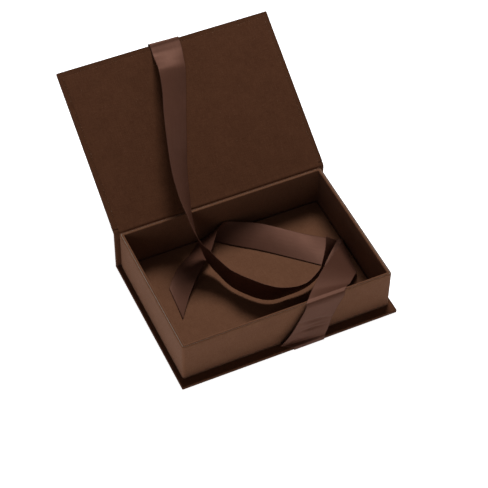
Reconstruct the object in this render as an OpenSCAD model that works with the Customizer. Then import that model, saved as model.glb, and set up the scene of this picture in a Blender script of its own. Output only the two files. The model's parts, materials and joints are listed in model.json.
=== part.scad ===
// Book-style presentation box: a shallow cloth-covered tray glued into a
// hinged hard case, closed by two satin tie ribbons.  Millimetres.
// X runs along the spine, +Y is the spine side, the case stands on Z = 0.

/* [Case] */
// length of the boards along the spine
case_w = 179.2; // [150:0.2:230]
// base board from its front edge to the back of the spine
base_d = 131.5; // [105:0.5:180]
// grey board of the base and the lid
board_t = 2.4; // [1.6:0.1:3.4]
// grey board of the spine
spine_board_t = 2.2; // [1.4:0.1:3.2]
// outer book cloth with its paste
cloth_t = 0.35; // [0.2:0.05:0.6]
// width of the cloth turned in round the base
turn_in = 15; // [8:0.5:20]
// strip of turned-in cloth left showing round the lid's lining
lining_inset = 4; // [2.5:0.5:8]

/* [Lid] */
// lid from the hinge line to its front edge
lid_d = 129.7; // [100:0.1:178]
// angle of the open lid, 0 is shut
open_angle = 146.8; // [95:0.1:175]
// room above the rim in the shut box, where the ribbons pass
rim_gap = 0.6; // [0.5:0.05:2]
// hinge line above the shut lid's inner face
hinge_up = 0.9; // [0.6:0.05:3]
// slit between the hinge line and the lid's back edge
hinge_slit = 0.5; // [0.4:0.05:2]

/* [Tray] */
// height of the tray's walls above the base
tray_h = 37; // [24:0.5:60]
// grey board of the tray's walls
wall_board_t = 2.3; // [1.5:0.1:3.5]
// base board showing in front of the tray
front_margin = 7.1; // [4:0.1:14]
// base board showing at each side of the tray
side_margin = 3.6; // [2:0.1:9]
// outer radius of the tray's upright corners
corner_r = 2.2; // [1.2:0.1:4]
// card under the floor's cloth
floor_card_t = 0.8; // [0.5:0.1:2]
// room between the floor card and the tray's lining
floor_play = 0.3; // [0.2:0.05:0.8]

/* [Ribbons] */
// width of the satin ribbon
ribbon_w = 25; // [16:0.5:30]
// thickness of the satin ribbon
ribbon_t = 0.35; // [0.2:0.05:0.4]
// length of ribbon glued down behind each board edge
tab_l = 28; // [15:1:45]
// place along the spine of the lid's ribbon
lid_ribbon_x = 0.3; // [-12:0.1:8]
// place along the spine of the base's ribbon
base_ribbon_x = 14.5; // [10:0.5:24]

/* [Hidden] */
$fn = 48;

// heights
base_t = board_t + 2 * cloth_t;
rim_z = base_t + tray_h;
lid_t = board_t + 2 * cloth_t;
floor_z = base_t + floor_card_t + cloth_t;

// plan of the base, the spine and the tray
half_w = case_w / 2;
base_front = -base_d / 2;
base_back = base_d / 2;
spine_t = spine_board_t + 2 * cloth_t;
wall_t = wall_board_t + 2 * cloth_t;
tray_front = base_front + front_margin;
tray_back = base_back - spine_t;
tray_half_w = half_w - side_margin;
tray_d = tray_back - tray_front;
tray_mid = (tray_front + tray_back) / 2;
in_half_w = tray_half_w - wall_t;
in_front = tray_front + wall_t;
in_back = tray_back - wall_t;
in_d = in_back - in_front;
in_h = rim_z - floor_z;

// the lining's turned edge stops this far inside the rim's outer edge
seam_gap = 0.12;

// hinge line
hinge_y = base_back;
hinge_z = rim_z + rim_gap + hinge_up;

// ribbon beds
bed_play = 0.06;
bed_h = ribbon_t + bed_play;
bed_side = 0.3;

// ---------------------------------------------------------------- helpers

module slab(x0, x1, y0, y1, z0, z1) {
    translate([x0, y0, z0])
        cube([x1 - x0, y1 - y0, z1 - z0]);
}

// upright block with round corners, r = 0 gives a plain block
module pillar(w, d, r, z0, z1) {
    translate([0, tray_mid, z0])
        linear_extrude(height = z1 - z0)
            if (r > 0) {
                union() {
                    square([w - 2 * r, d], center = true);
                    square([w, d - 2 * r], center = true);
                    for (sx = [-1, 1])
                        for (sy = [-1, 1])
                            translate([sx * (w / 2 - r), sy * (d / 2 - r)])
                                circle(r = r);
                }
            } else {
                square([w, d], center = true);
            }
}

// the tray inset by t all round, from z0 to z1
module tray_block(t, z0, z1) {
    pillar(2 * (tray_half_w - t), tray_d - 2 * t, max(0, corner_r - t), z0, z1);
}

// inside of the tray inset by t, square corners
module tray_hollow(t, z0, z1) {
    pillar(2 * (in_half_w - t), in_d - 2 * t, 0, z0, z1);
}

// lid's own frame: u from the hinge line to the front edge, h from the outer
// face (0) to the inner face (lid_t)
module on_lid() {
    translate([0, hinge_y, hinge_z])
        rotate([-open_angle, 0, 0])
            mirror([0, 1, 0])
                mirror([0, 0, 1])
                    translate([0, 0, hinge_up - lid_t])
                        children();
}

module lid_slab(x0, x1, u0, u1, h0, h1) {
    on_lid()
        slab(x0, x1, u0, u1, h0, h1);
}

// ---------------------------------------------------------- ribbon routes

// the routes inside the tray are drawn for this inner size
route_half_w = 83;
route_d = 115.5;
route_h = 36;

// x along the spine, y back from the front wall, z above the floor
function in_tray(p) = [
    p[0] * in_half_w / route_half_w,
    in_front + p[1] * in_d / route_d,
    floor_z + p[2] * in_h / route_h
];

// x along the spine, u from the hinge line, h above the lid's inner face
route_lid_d = 129;
function over_lid(p) = let (
    u = p[1] * lid_d / route_lid_d,
    h = p[2] + hinge_up
) [
    lid_ribbon_x + p[0],
    hinge_y - u * cos(open_angle) - h * sin(open_angle),
    hinge_z + u * sin(open_angle) - h * cos(open_angle)
];

// x from the ribbon's middle, s forward from the base's edge (0) to the wall
// (1), f from the base's top (0) to the rim (1)
function up_front(p) = [
    base_ribbon_x + p[0],
    base_front + p[1] * front_margin,
    base_t + p[2] * tray_h
];

// x from the ribbon's middle, s as above, z above the case's underside
function round_edge(p) = [
    base_ribbon_x + p[0],
    base_front + p[1] * front_margin,
    p[2]
];

function mix(a, b, t) = a + (b - a) * t;

// a smooth curve from b to c, which heads along a-c at b and along b-d at c
function spline(a, b, c, d, t) = let (
    l = norm(c - b),
    go = (c - a) * l / (norm(b - a) + l),
    come = (d - b) * l / (norm(d - c) + l)
) b + go * t
    + (3 * (c - b) - 2 * go - come) * t * t
    + (2 * (b - c) + go + come) * t * t * t;

function route(p, n) = let (last = len(p) - 1) [
    for (i = [0 : last - 1])
        for (j = [0 : n - 1])
            spline(p[max(i - 1, 0)], p[i], p[i + 1], p[min(i + 2, last)], j / n),
    p[last]
];

function unit(v) = v / norm(v);

// unit normal of the strip at ring i
function ring_normal(left, right, i) = let (
    last = len(left) - 1,
    a = max(i - 1, 0),
    b = min(i + 1, last),
    along = (left[b] + right[b]) - (left[a] + right[a])
) unit(cross(along, right[i] - left[i]));

// points of the strip at ring i, first across its face and then back across
// its other face
function ring(left, right, i) = let (
    n = ring_normal(left, right, i) * ribbon_t / 2
) concat(
    [for (j = [0 : across]) mix(left[i], right[i], j / across) + n],
    [for (j = [across : -1 : 0]) mix(left[i], right[i], j / across) - n]
);

// a closed strip through a list of rings; both faces are cut along the same
// diagonals, so that they stay apart where the ribbon twists
module strip(rings) {
    last = len(rings) - 1;
    n = 2 * across + 2;
    points = [for (r = rings) for (p = r) p];
    sides = [
        for (i = [0 : last - 1])
            for (k = [0 : n - 1])
                let (a = n * i + k, b = n * i + (k + 1) % n)
                    for (f = k <= across
                        ? [[a, b, b + n], [a, b + n, a + n]]
                        : [[a, b, a + n], [b, b + n, a + n]]) f
    ];
    e = n * last;
    ends = [
        for (j = [0 : across - 1])
            let (a = j, b = j + 1, c = n - 2 - j, d = n - 1 - j)
                for (f = [[c, b, a], [d, c, a], [e + a, e + b, e + c], [e + a, e + c, e + d]]) f
    ];
    polyhedron(points = points, faces = concat(sides, ends), convexity = 12);
}

steps = 4;
across = 2;
half_r = ribbon_w / 2;
skim = ribbon_t / 2 + 0.075;

// Lid ribbon.  It comes from the outer face round the lid's front edge, turns
// on to its side as it runs down the open lid, drops over the back rim and
// stands in a loop on the tray's floor.
lid_left = [
    [-half_r, 126, -lid_t - skim],
    [-half_r, 128.8, -lid_t - skim],
    [-half_r, 129.9, -lid_t + 0.3],
    [-half_r, 130.6, -1.6],
    [-half_r + 0.3, 129.8, 0.7],
    [-12.2, 126.5, 0.9],
    [-12.43, 123.81, 0.3],
    [-12.71, 121.14, 0.3],
    [-13.09, 118.39, 0.9],
    [-13.84, 113.52, 3.6],
    [-15.27, 105.71, 8],
    [-19.14, 88.01, 12],
    [-23.55, 75.18, 13.5],
    [-29.91, 52.45, 15.5],
    [-35.26, 26.22, 18]
];
lid_right = [
    [half_r, 126, -lid_t - skim],
    [half_r, 128.8, -lid_t - skim],
    [half_r, 129.9, -lid_t + 0.3],
    [half_r, 130.1, -1.6],
    [half_r, 129.7, 0.6],
    [half_r - 0.2, 126.6, 0.7],
    [12.19, 123.24, 0.3],
    [11.71, 120.28, 0.3],
    [11.13, 117.32, 0.35],
    [9.67, 110.9, 0.4],
    [7.92, 103.01, 0.5],
    [2.25, 84.74, 0.5],
    [-2.87, 71.89, 0.5],
    [-10.83, 50.14, 0.5],
    [-18.39, 26.87, 0.6]
];
drop_left = [
    [-37.17, 112.74, 59.33],
    [-36.9, 100.63, 53.54],
    [-36.1, 91.15, 46.62],
    [-33.76, 84.29, 39.55],
    [-31, 80.5, 35]
];
drop_right = [
    [-23.81, 125.17, 43.68],
    [-26.75, 115.21, 37.65],
    [-28.45, 105.15, 28.63],
    [-28.5, 99, 21],
    [-27.5, 94.5, 15]
];
loop_left = [
    [-28.5, 78, 32.5],
    [-25.5, 72, 29],
    [-22, 65.5, 26],
    [-19, 59.5, 24.5],
    [-15.5, 51, 26.5],
    [-10.5, 43, 27.5],
    [-2, 33, 27.5],
    [6.5, 26.5, 27],
    [18.5, 23, 26],
    [27, 23, 26],
    [32.5, 25, 26],
    [42.5, 30.7, 26.9],
    [47.5, 36.6, 27.5],
    [52.7, 43.4, 27.8],
    [57.1, 50.3, 27.8],
    [60.8, 57.3, 27.6]
];
loop_right = [
    [-27.2, 90, 11.7],
    [-26.2, 85.6, 8.6],
    [-24.5, 80.5, 6],
    [-22.5, 74.5, 4.5],
    [-18.5, 61, 3.5],
    [-12.5, 51, 3],
    [-2.5, 39.5, 3],
    [6.5, 35, 3],
    [19, 34.5, 3],
    [28.5, 34.5, 3.5],
    [37.5, 36.2, 4],
    [48.6, 41.3, 5.1],
    [56.5, 48.2, 7.3],
    [64.5, 55.1, 9.1],
    [70.2, 60.1, 9],
    [75.2, 65, 8.7]
];
lid_l = concat(
    [for (p = lid_left) over_lid(p)],
    [for (p = drop_left) in_tray(p)],
    [for (p = loop_left) in_tray(p)]
);
lid_r = concat(
    [for (p = lid_right) over_lid(p)],
    [for (p = drop_right) in_tray(p)],
    [for (p = loop_right) in_tray(p)]
);
lid_edge_l = route(lid_l, steps);
lid_edge_r = route(lid_r, steps);
lid_rings = [for (i = [0 : len(lid_edge_l) - 1]) ring(lid_edge_l, lid_edge_r, i)];
tail_ring = steps * (len(lid_left) + len(drop_left) - 1);
// the tail starts a hair past the ring where the hanging stretch ends
tail_start = mix(lid_rings[tail_ring], lid_rings[tail_ring + 1], 0.12);

// Base ribbon.  It comes from under the base round its front edge, climbs the
// front wall, crosses the tray to the right wall, folds back under itself to
// the back wall, folds again and ends in a slanting cut.
edge_left = [
    [-half_r, 0.15, 0.02 + ribbon_t / 2],
    [-half_r, 0.03, 0.02 + ribbon_t / 2],
    [-half_r, -0.05, 0.35],
    [-half_r - 0.4, -0.085, 1.5]
];
edge_right = [
    [half_r, 0.15, 0.02 + ribbon_t / 2],
    [half_r, 0.03, 0.02 + ribbon_t / 2],
    [half_r, -0.05, 0.35],
    [half_r, -0.085, 1.5]
];
foot_left = [
    [-half_r - 1.2, -0.04, 0.013],
    [-21, 0.76, 0.022],
    [-19.6, 0.74, 0.13],
    [-12.5, 0.84, 0.36],
    [-6.8, 0.92, 0.64]
];
foot_right = [
    [half_r + 0.3, -0.06, 0.02],
    [half_r + 1, 0.05, 0.06],
    [half_r + 3.4, 0.15, 0.2],
    [half_r + 7.5, 0.4, 0.46],
    [half_r + 12.2, 0.72, 0.74]
];
band_left = [
    [15.2, -1.3, 36.27],
    [16.6, 0.1, 36.22],
    [18, 1.6, 35.9],
    [20.8, 5, 34.8],
    [26, 11, 32.3],
    [41, 27, 26],
    [51, 37, 20],
    [65.5, 51.5, 11.2],
    [77.5, 63, 5.2],
    [82, 68.5, 2.9],
    [78.5, 71, 1.7],
    [70.5, 75, 3.4],
    [55.5, 83.5, 6],
    [40, 95.5, 8],
    [25.5, 105.5, 10],
    [11, 111.5, 12],
    [1, 113.8, 14],
    [-6, 110, 13.8],
    [-12.5, 102.5, 13],
    [-20, 93.4, 10.8],
    [-27.5, 87.4, 8.8],
    [-43, 73, 6],
    [-53.5, 61.5, 3],
    [-64, 47.5, 0.7]
];
band_right = [
    [47.8, -1.3, 36.27],
    [49.1, 0.1, 36.2],
    [50.5, 1.6, 34.8],
    [52.8, 4.4, 31.3],
    [58, 10.5, 23.5],
    [66, 20, 15],
    [71, 26, 10],
    [74.5, 30, 6.5],
    [76.3, 32.8, 4.2],
    [77, 34.5, 2.6],
    [75.5, 36.5, 1.1],
    [64.5, 45, 0.7],
    [55, 53.5, 0.7],
    [38, 69, 0.7],
    [19.5, 85.5, 0.9],
    [4, 97.5, 1],
    [-16.5, 113.5, 1],
    [-23, 112.6, 0.9],
    [-29, 107.5, 0.8],
    [-37, 102, 0.8],
    [-45.5, 96.5, 0.8],
    [-54.5, 88.5, 0.8],
    [-59, 83, 0.8],
    [-61.5, 79.5, 0.7]
];
// the right edge's lean to the right by the time it reaches the rim
rim_lean = 18.1;
rim_left = [
    [-1.6, 0.94, 0.97],
    [-1.1, 0.95, 0.994],
    [-0.9, 0.975, 1.0055],
    [-0.7, 1.02, 1.0085]
];
rim_right = [
    [half_r + rim_lean, 0.94, 0.97],
    [half_r + rim_lean + 0.5, 0.95, 0.994],
    [half_r + rim_lean + 0.7, 0.975, 1.0055],
    [half_r + rim_lean + 0.9, 1.02, 1.0085]
];
base_l = concat(
    [for (p = edge_left) round_edge(p)],
    [for (p = foot_left) up_front(p)],
    [for (p = rim_left) up_front(p)],
    [for (p = band_left) in_tray(p)]
);
base_r = concat(
    [for (p = edge_right) round_edge(p)],
    [for (p = foot_right) up_front(p)],
    [for (p = rim_right) up_front(p)],
    [for (p = band_right) in_tray(p)]
);
base_edge_l = route(base_l, steps);
base_edge_r = route(base_r, steps);
base_rings = [for (i = [0 : len(base_edge_l) - 1]) ring(base_edge_l, base_edge_r, i)];

// ------------------------------------------------------------- base pieces

// bed in the base's underside for the ribbon's glued end, widened by t
module base_bed(t, z1) {
    slab(
        base_ribbon_x - ribbon_w / 2 - bed_side - t,
        base_ribbon_x + ribbon_w / 2 + bed_side + t,
        base_front - 1,
        base_front + tab_l + bed_side + t,
        -1,
        z1
    );
}

module base_board() {
    color("#9c8f7c")
        difference() {
            slab(
                -half_w + cloth_t,
                half_w - cloth_t,
                base_front + cloth_t,
                base_back - cloth_t,
                cloth_t,
                cloth_t + board_t
            );
            base_bed(cloth_t, bed_h + cloth_t);
        }
}

module base_cloth() {
    color("#2b1810")
        difference() {
            slab(-half_w, half_w, base_front, base_back, 0, base_t);
            difference() {
                slab(
                    -half_w + cloth_t,
                    half_w - cloth_t,
                    base_front + cloth_t,
                    base_back - cloth_t,
                    cloth_t,
                    cloth_t + board_t
                );
                base_bed(cloth_t, bed_h + cloth_t);
            }
            slab(
                -half_w + turn_in,
                half_w - turn_in,
                base_front + turn_in,
                base_back - turn_in,
                cloth_t + board_t / 2,
                base_t + 1
            );
            base_bed(0, bed_h);
        }
}

module base_liner() {
    color("#cdbfa8")
        slab(
            -half_w + turn_in,
            half_w - turn_in,
            base_front + turn_in,
            base_back - turn_in,
            cloth_t + board_t,
            base_t
        );
}

module spine_board() {
    color("#9c8f7c")
        slab(
            -half_w + cloth_t,
            half_w - cloth_t,
            base_back - cloth_t - spine_board_t,
            base_back - cloth_t,
            base_t,
            rim_z - cloth_t
        );
}

module spine_cloth() {
    color("#35201a")
        difference() {
            slab(-half_w, half_w, base_back - spine_t, base_back, base_t, rim_z);
            slab(
                -half_w + cloth_t,
                half_w - cloth_t,
                base_back - cloth_t - spine_board_t,
                base_back - cloth_t,
                base_t - 1,
                rim_z - cloth_t
            );
            spine_lining_block(1);
        }
}

// place of the spine's lining, run past its top and bottom by over
module spine_lining_block(over) {
    slab(
        -half_w + lining_inset,
        half_w - lining_inset,
        base_back - spine_t - over,
        base_back - cloth_t - spine_board_t,
        base_t - over,
        rim_z + over
    );
}

module spine_lining() {
    color("#45291b")
        spine_lining_block(0);
}

// outer cloth from the spine's top edge to just under the hinge line
module hinge_cloth() {
    color("#2b1810")
        slab(
            -half_w,
            half_w,
            base_back - cloth_t,
            base_back,
            rim_z,
            hinge_z - hinge_slit
        );
}

// inner cloth from the spine's top edge to the lid's back edge, lid open
module hinge_lining() {
    back_y = base_back - cloth_t - spine_board_t;
    foot_y = back_y - cloth_t;
    u = hinge_slit;
    gap = 0.3;
    top_y = hinge_y - (u - gap) * cos(open_angle) - hinge_up * sin(open_angle);
    top_z = hinge_z + (u - gap) * sin(open_angle) - hinge_up * cos(open_angle);
    color("#3a2218")
        translate([-half_w + lining_inset, 0, 0])
            rotate([90, 0, 90])
                linear_extrude(height = case_w - 2 * lining_inset)
                    polygon([
                        [foot_y, rim_z],
                        [back_y, rim_z],
                        [top_y + cloth_t * 0.6, top_z - cloth_t * 0.8],
                        [top_y - cloth_t * 0.4, top_z - cloth_t * 0.2]
                    ]);
}

// ------------------------------------------------------------- tray pieces

// core of the walls: outer faces inside the wrap, inner faces inside the lining
module wall_core() {
    difference() {
        tray_block(cloth_t, base_t, rim_z - cloth_t);
        tray_hollow(-cloth_t, base_t - 1, rim_z + 1);
    }
}

core_x = tray_half_w - cloth_t - wall_board_t;

module tray_front_board() {
    color("#b7aa94")
        intersection() {
            wall_core();
            slab(-half_w, half_w, tray_front, in_front - cloth_t, 0, rim_z);
        }
}

module tray_back_board() {
    color("#b7aa94")
        intersection() {
            wall_core();
            slab(-half_w, half_w, in_back + cloth_t, tray_back, 0, rim_z);
        }
}

module tray_left_board() {
    color("#b7aa94")
        slab(
            -core_x - wall_board_t,
            -core_x,
            in_front - cloth_t,
            in_back + cloth_t,
            base_t,
            rim_z - cloth_t
        );
}

module tray_right_board() {
    color("#b7aa94")
        slab(
            core_x,
            core_x + wall_board_t,
            in_front - cloth_t,
            in_back + cloth_t,
            base_t,
            rim_z - cloth_t
        );
}

// outer cloth of the tray's four walls
module tray_wrap() {
    color("#5a4030")
        difference() {
            tray_block(0, base_t, rim_z);
            tray_block(cloth_t, base_t - 1, rim_z + 1);
        }
}

// cloth of the tray's inner faces, turned over the rim to the seam
module tray_lining() {
    color("#7a564a")
        difference() {
            union() {
                tray_hollow(-cloth_t, base_t, rim_z - cloth_t);
                tray_block(cloth_t + seam_gap, rim_z - cloth_t, rim_z);
            }
            tray_hollow(0, base_t - 1, rim_z + 1);
        }
}

module floor_card() {
    color("#d8ccb8")
        tray_hollow(floor_play, base_t, base_t + floor_card_t);
}

module floor_cloth() {
    color("#5a4030")
        tray_hollow(floor_play, base_t + floor_card_t, floor_z);
}

// -------------------------------------------------------------- lid pieces

module lid_board() {
    color("#9c8f7c")
        lid_slab(
            -half_w + cloth_t,
            half_w - cloth_t,
            hinge_slit + cloth_t,
            lid_d - cloth_t,
            cloth_t,
            cloth_t + board_t
        );
}

module lid_lining() {
    color("#45291b")
        lid_slab(
            -half_w + lining_inset,
            half_w - lining_inset,
            hinge_slit + lining_inset,
            lid_d - lining_inset,
            cloth_t + board_t,
            lid_t
        );
}

module lid_cloth() {
    color("#2b1810")
        on_lid()
            difference() {
                slab(-half_w, half_w, hinge_slit, lid_d, 0, lid_t);
                slab(
                    -half_w + cloth_t,
                    half_w - cloth_t,
                    hinge_slit + cloth_t,
                    lid_d - cloth_t,
                    cloth_t,
                    cloth_t + board_t
                );
                slab(
                    -half_w + lining_inset,
                    half_w - lining_inset,
                    hinge_slit + lining_inset,
                    lid_d - lining_inset,
                    cloth_t + board_t / 2,
                    lid_t + 1
                );
            }
}

// ------------------------------------------------------------ ribbon pieces

module base_ribbon_tab() {
    color("#61463f")
        slab(
            base_ribbon_x - ribbon_w / 2,
            base_ribbon_x + ribbon_w / 2,
            base_front + 0.15 * front_margin + 0.05,
            base_front + tab_l,
            0.02,
            0.02 + ribbon_t
        );
}

module base_ribbon() {
    color("#61463f")
        strip(base_rings);
}

module lid_ribbon_tab() {
    color("#61463f")
        lid_slab(
            lid_ribbon_x - ribbon_w / 2,
            lid_ribbon_x + ribbon_w / 2,
            lid_d - tab_l,
            126 * lid_d / route_lid_d - 0.05,
            -0.075 - ribbon_t,
            -0.075
        );
}

module lid_ribbon() {
    color("#61463f")
        strip([for (i = [0 : tail_ring]) lid_rings[i]]);
}

module lid_ribbon_tail() {
    color("#61463f")
        strip(concat([tail_start], [for (i = [tail_ring + 1 : len(lid_rings) - 1]) lid_rings[i]]));
}

base_board();
base_cloth();
base_liner();
spine_board();
spine_cloth();
spine_lining();
hinge_cloth();
hinge_lining();
tray_front_board();
tray_back_board();
tray_left_board();
tray_right_board();
tray_wrap();
tray_lining();
floor_card();
floor_cloth();
lid_board();
lid_cloth();
lid_lining();
base_ribbon_tab();
base_ribbon();
lid_ribbon_tab();
lid_ribbon();
lid_ribbon_tail();
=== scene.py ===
"""Looks of an open book-style presentation box with two satin tie ribbons.

Lengths inside the classes are millimetres in the part's own frame: X runs
along the spine, +Y is the spine side and the box stands on Z = 0.  Meshes are
scaled to metres when they are made.
"""

import json
import logging
import math
from dataclasses import dataclass, field
from enum import Enum
from typing import Callable, Optional, Sequence

import bpy
import numpy as np
from mathutils import Matrix, Vector


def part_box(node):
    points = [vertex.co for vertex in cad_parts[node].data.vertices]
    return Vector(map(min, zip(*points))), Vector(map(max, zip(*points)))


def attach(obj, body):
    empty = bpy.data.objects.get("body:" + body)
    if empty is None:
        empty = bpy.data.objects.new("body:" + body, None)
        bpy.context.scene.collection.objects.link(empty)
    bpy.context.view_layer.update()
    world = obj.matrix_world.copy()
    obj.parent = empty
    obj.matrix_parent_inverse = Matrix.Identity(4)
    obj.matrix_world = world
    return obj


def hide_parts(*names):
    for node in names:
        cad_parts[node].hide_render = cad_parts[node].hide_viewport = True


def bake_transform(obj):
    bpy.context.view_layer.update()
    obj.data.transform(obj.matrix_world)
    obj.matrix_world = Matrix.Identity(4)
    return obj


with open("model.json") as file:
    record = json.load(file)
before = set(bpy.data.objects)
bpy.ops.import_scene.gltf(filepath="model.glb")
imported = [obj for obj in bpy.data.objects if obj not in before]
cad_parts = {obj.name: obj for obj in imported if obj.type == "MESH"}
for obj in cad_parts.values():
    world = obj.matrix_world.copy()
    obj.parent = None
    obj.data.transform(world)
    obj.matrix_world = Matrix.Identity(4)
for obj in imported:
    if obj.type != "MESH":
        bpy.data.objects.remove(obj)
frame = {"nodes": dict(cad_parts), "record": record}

LOG = logging.getLogger("box")
MM = 0.001
BACK_SIDE = 40.0  # where the width coordinate starts again on a ribbon's back, mm
Place = Callable[[np.ndarray], np.ndarray]
Bend = tuple[tuple[float, float, float], tuple[float, float, float]]
Stations = Sequence[Sequence[float]]


class Body(str, Enum):
    """The two bodies of the box."""

    CASE = "case"
    LID = "lid"


class Slot(str, Enum):
    """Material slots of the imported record."""

    BOARD = "grey_board"
    CASE_CLOTH = "case_cloth"
    LID_LINING = "lid_lining_cloth"
    TRAY_CLOTH = "tray_cloth"
    PAPER = "liner_paper"
    CARD = "floor_card"
    SATIN = "satin_ribbon"


# ------------------------------------------------------------- mesh helpers


def unit(v: np.ndarray) -> np.ndarray:
    """Vectors of length one along the last axis."""
    return v / np.maximum(np.linalg.norm(v, axis=-1, keepdims=True), 1e-12)


def smoothstep(x: np.ndarray, a: float, b: float) -> np.ndarray:
    """A soft step from 0 at a to 1 at b.

    Args:
        x: Values to step.
        a: Where the step starts.
        b: Where the step ends.

    Returns:
        The stepped values.
    """
    t = np.clip((x - a) / (b - a), 0.0, 1.0)
    return t * t * (3 - 2 * t)


def wobble(p: np.ndarray, pitch: float, seed: int) -> np.ndarray:
    """Slow smooth unevenness in the range -1 to 1.

    Args:
        p: Points, one per row.
        pitch: Rough distance between bumps.
        seed: Chooses the pattern.

    Returns:
        One value per point.
    """
    rng = np.random.default_rng(seed)
    total = np.zeros(len(p))
    for _ in range(7):
        way = unit(rng.normal(size=3))
        turn = rng.uniform(0, 2 * math.pi)
        total += np.sin(p @ way * (2 * math.pi / pitch * rng.uniform(0.6, 1.6)) + turn)
    return total / 7


def add_object(name: str, data: bpy.types.ID) -> bpy.types.Object:
    """Links a new object to the scene.

    Args:
        name: Its name.
        data: Its mesh, light or camera.

    Returns:
        The object.
    """
    obj = bpy.data.objects.new(name, data)
    bpy.context.scene.collection.objects.link(obj)
    return obj


def new_piece(
    name: str,
    points: np.ndarray,
    faces: np.ndarray,
    uv: Optional[np.ndarray] = None,
    shade: Optional[np.ndarray] = None,
) -> bpy.types.Object:
    """Makes a smooth-shaded mesh object from millimetre points.

    Args:
        name: Piece name.
        points: Vertices, n x 3.
        faces: Quads, m x 4.
        uv: Texture place of each face corner, m x 4 x 2, in millimetres.
        shade: Wear mark of each vertex, 0 for none.

    Returns:
        The new object, linked to the scene.
    """
    tris = points[np.concatenate([faces[:, :3], faces[:, [0, 2, 3]]])]
    if np.einsum("ij,ij->i", tris[:, 0], np.cross(tris[:, 1], tris[:, 2])).sum() < 0:
        faces = faces[:, ::-1]
        uv = None if uv is None else uv[:, ::-1]
    mesh = bpy.data.meshes.new(name)
    mesh.from_pydata((points * MM).tolist(), [], faces.tolist())
    if uv is not None:
        layer = mesh.uv_layers.new(name="weave")
        layer.data.foreach_set("uv", (uv.reshape(-1) * MM).astype(np.float32))
    if shade is not None:
        mark = mesh.attributes.new("wear", "FLOAT", "POINT")
        mark.data.foreach_set("value", shade.astype(np.float32))
    mesh.polygons.foreach_set("use_smooth", [True] * len(mesh.polygons))
    mesh.update()
    return add_object(name, mesh)


def grid_quads(rows: int, cols: int, wrap_rows: bool, wrap_cols: bool) -> np.ndarray:
    """Quads between the points of a grid.

    Args:
        rows: Number of rows.
        cols: Number of points in a row.
        wrap_rows: Joins the last row to the first.
        wrap_cols: Joins the last column to the first.

    Returns:
        Quads as indices into the flattened grid.
    """
    i = np.arange(rows if wrap_rows else rows - 1)
    j = np.arange(cols if wrap_cols else cols - 1)
    i, j = (a.ravel() for a in np.meshgrid(i, j, indexing="ij"))
    i2, j2 = (i + 1) % rows, (j + 1) % cols
    return np.stack([i * cols + j, i * cols + j2, i2 * cols + j2, i2 * cols + j], 1)


def grid_uv(quads: np.ndarray, cols: int, by_row: np.ndarray, by_col: np.ndarray) -> np.ndarray:
    """Texture places of a grid's quads.

    Args:
        quads: Quads from grid_quads.
        cols: Number of points in a row.
        by_row: First coordinate at each row, and past the last where rows wrap.
        by_col: Second coordinate at each column, in the same way.

    Returns:
        Both coordinates of each corner of each quad.
    """
    i, j = np.divmod(quads[:, 0], cols)
    u = np.stack([by_row[i], by_row[i], by_row[i + 1], by_row[i + 1]], 1)
    v = np.stack([by_col[j], by_col[j + 1], by_col[j + 1], by_col[j]], 1)
    return np.stack([u, v], -1)


def run_length(line: np.ndarray) -> np.ndarray:
    """Length run round a closed line, at each of its points and back at the first."""
    steps = np.linalg.norm(np.diff(line, axis=0, append=line[:1]), axis=1)
    return np.concatenate([[0], np.cumsum(steps)])


def end_caps(rows: int, cols: int) -> np.ndarray:
    """Quads that close both ends of a flattened tube.

    Args:
        rows: Number of rings.
        cols: Points in a ring, an even number, with the last beside the first.

    Returns:
        Quads as indices into the flattened grid.
    """
    caps = []
    for base, turn in ((0, False), ((rows - 1) * cols, True)):
        for near in range(base, base + cols // 2 - 1):
            far = 2 * base + cols - 1 - near
            face = [near, near + 1, far - 1, far]
            caps.append(face if turn else face[::-1])
    return np.array(caps)


def face_index(axis: int, end: int) -> tuple:
    """Index of a three-axis array's first (0) or last (-1) face across an axis."""
    return tuple(end if a == axis else slice(None) for a in range(3))


def cut_lines(lo: float, hi: float, r: float, band: float, fine: float, coarse: float,
              extra: Sequence[float] = ()) -> np.ndarray:
    """Grid lines across a slab: close in the rounding, fine near the edges.

    Args:
        lo: Lower end.
        hi: Upper end.
        r: Radius of the rounded edge.
        band: Width of the finely cut strip at each end.
        fine: Spacing in that strip.
        coarse: Spacing between the strips.
        extra: Places that get a close pair of lines.

    Returns:
        Sorted places of the lines.
    """
    turn = [0, 0.22 * r, 0.5 * r, 0.78 * r, r]
    strip = list(np.arange(r + fine, band, fine)) if band > r + fine else []
    ends = np.array(turn + strip)
    start = ends[-1]
    count = max(2, int(round((hi - lo - 2 * start) / coarse)) + 1)
    middle = np.linspace(lo + start, hi - start, count)
    pairs = [e + d for e in extra for d in (-0.04, 0.04)]
    lines = np.concatenate([lo + ends, middle, hi - ends, pairs])
    lines = np.sort(lines)
    keep = np.concatenate([[True], np.diff(lines) > 0.02])
    return lines[keep]


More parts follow.
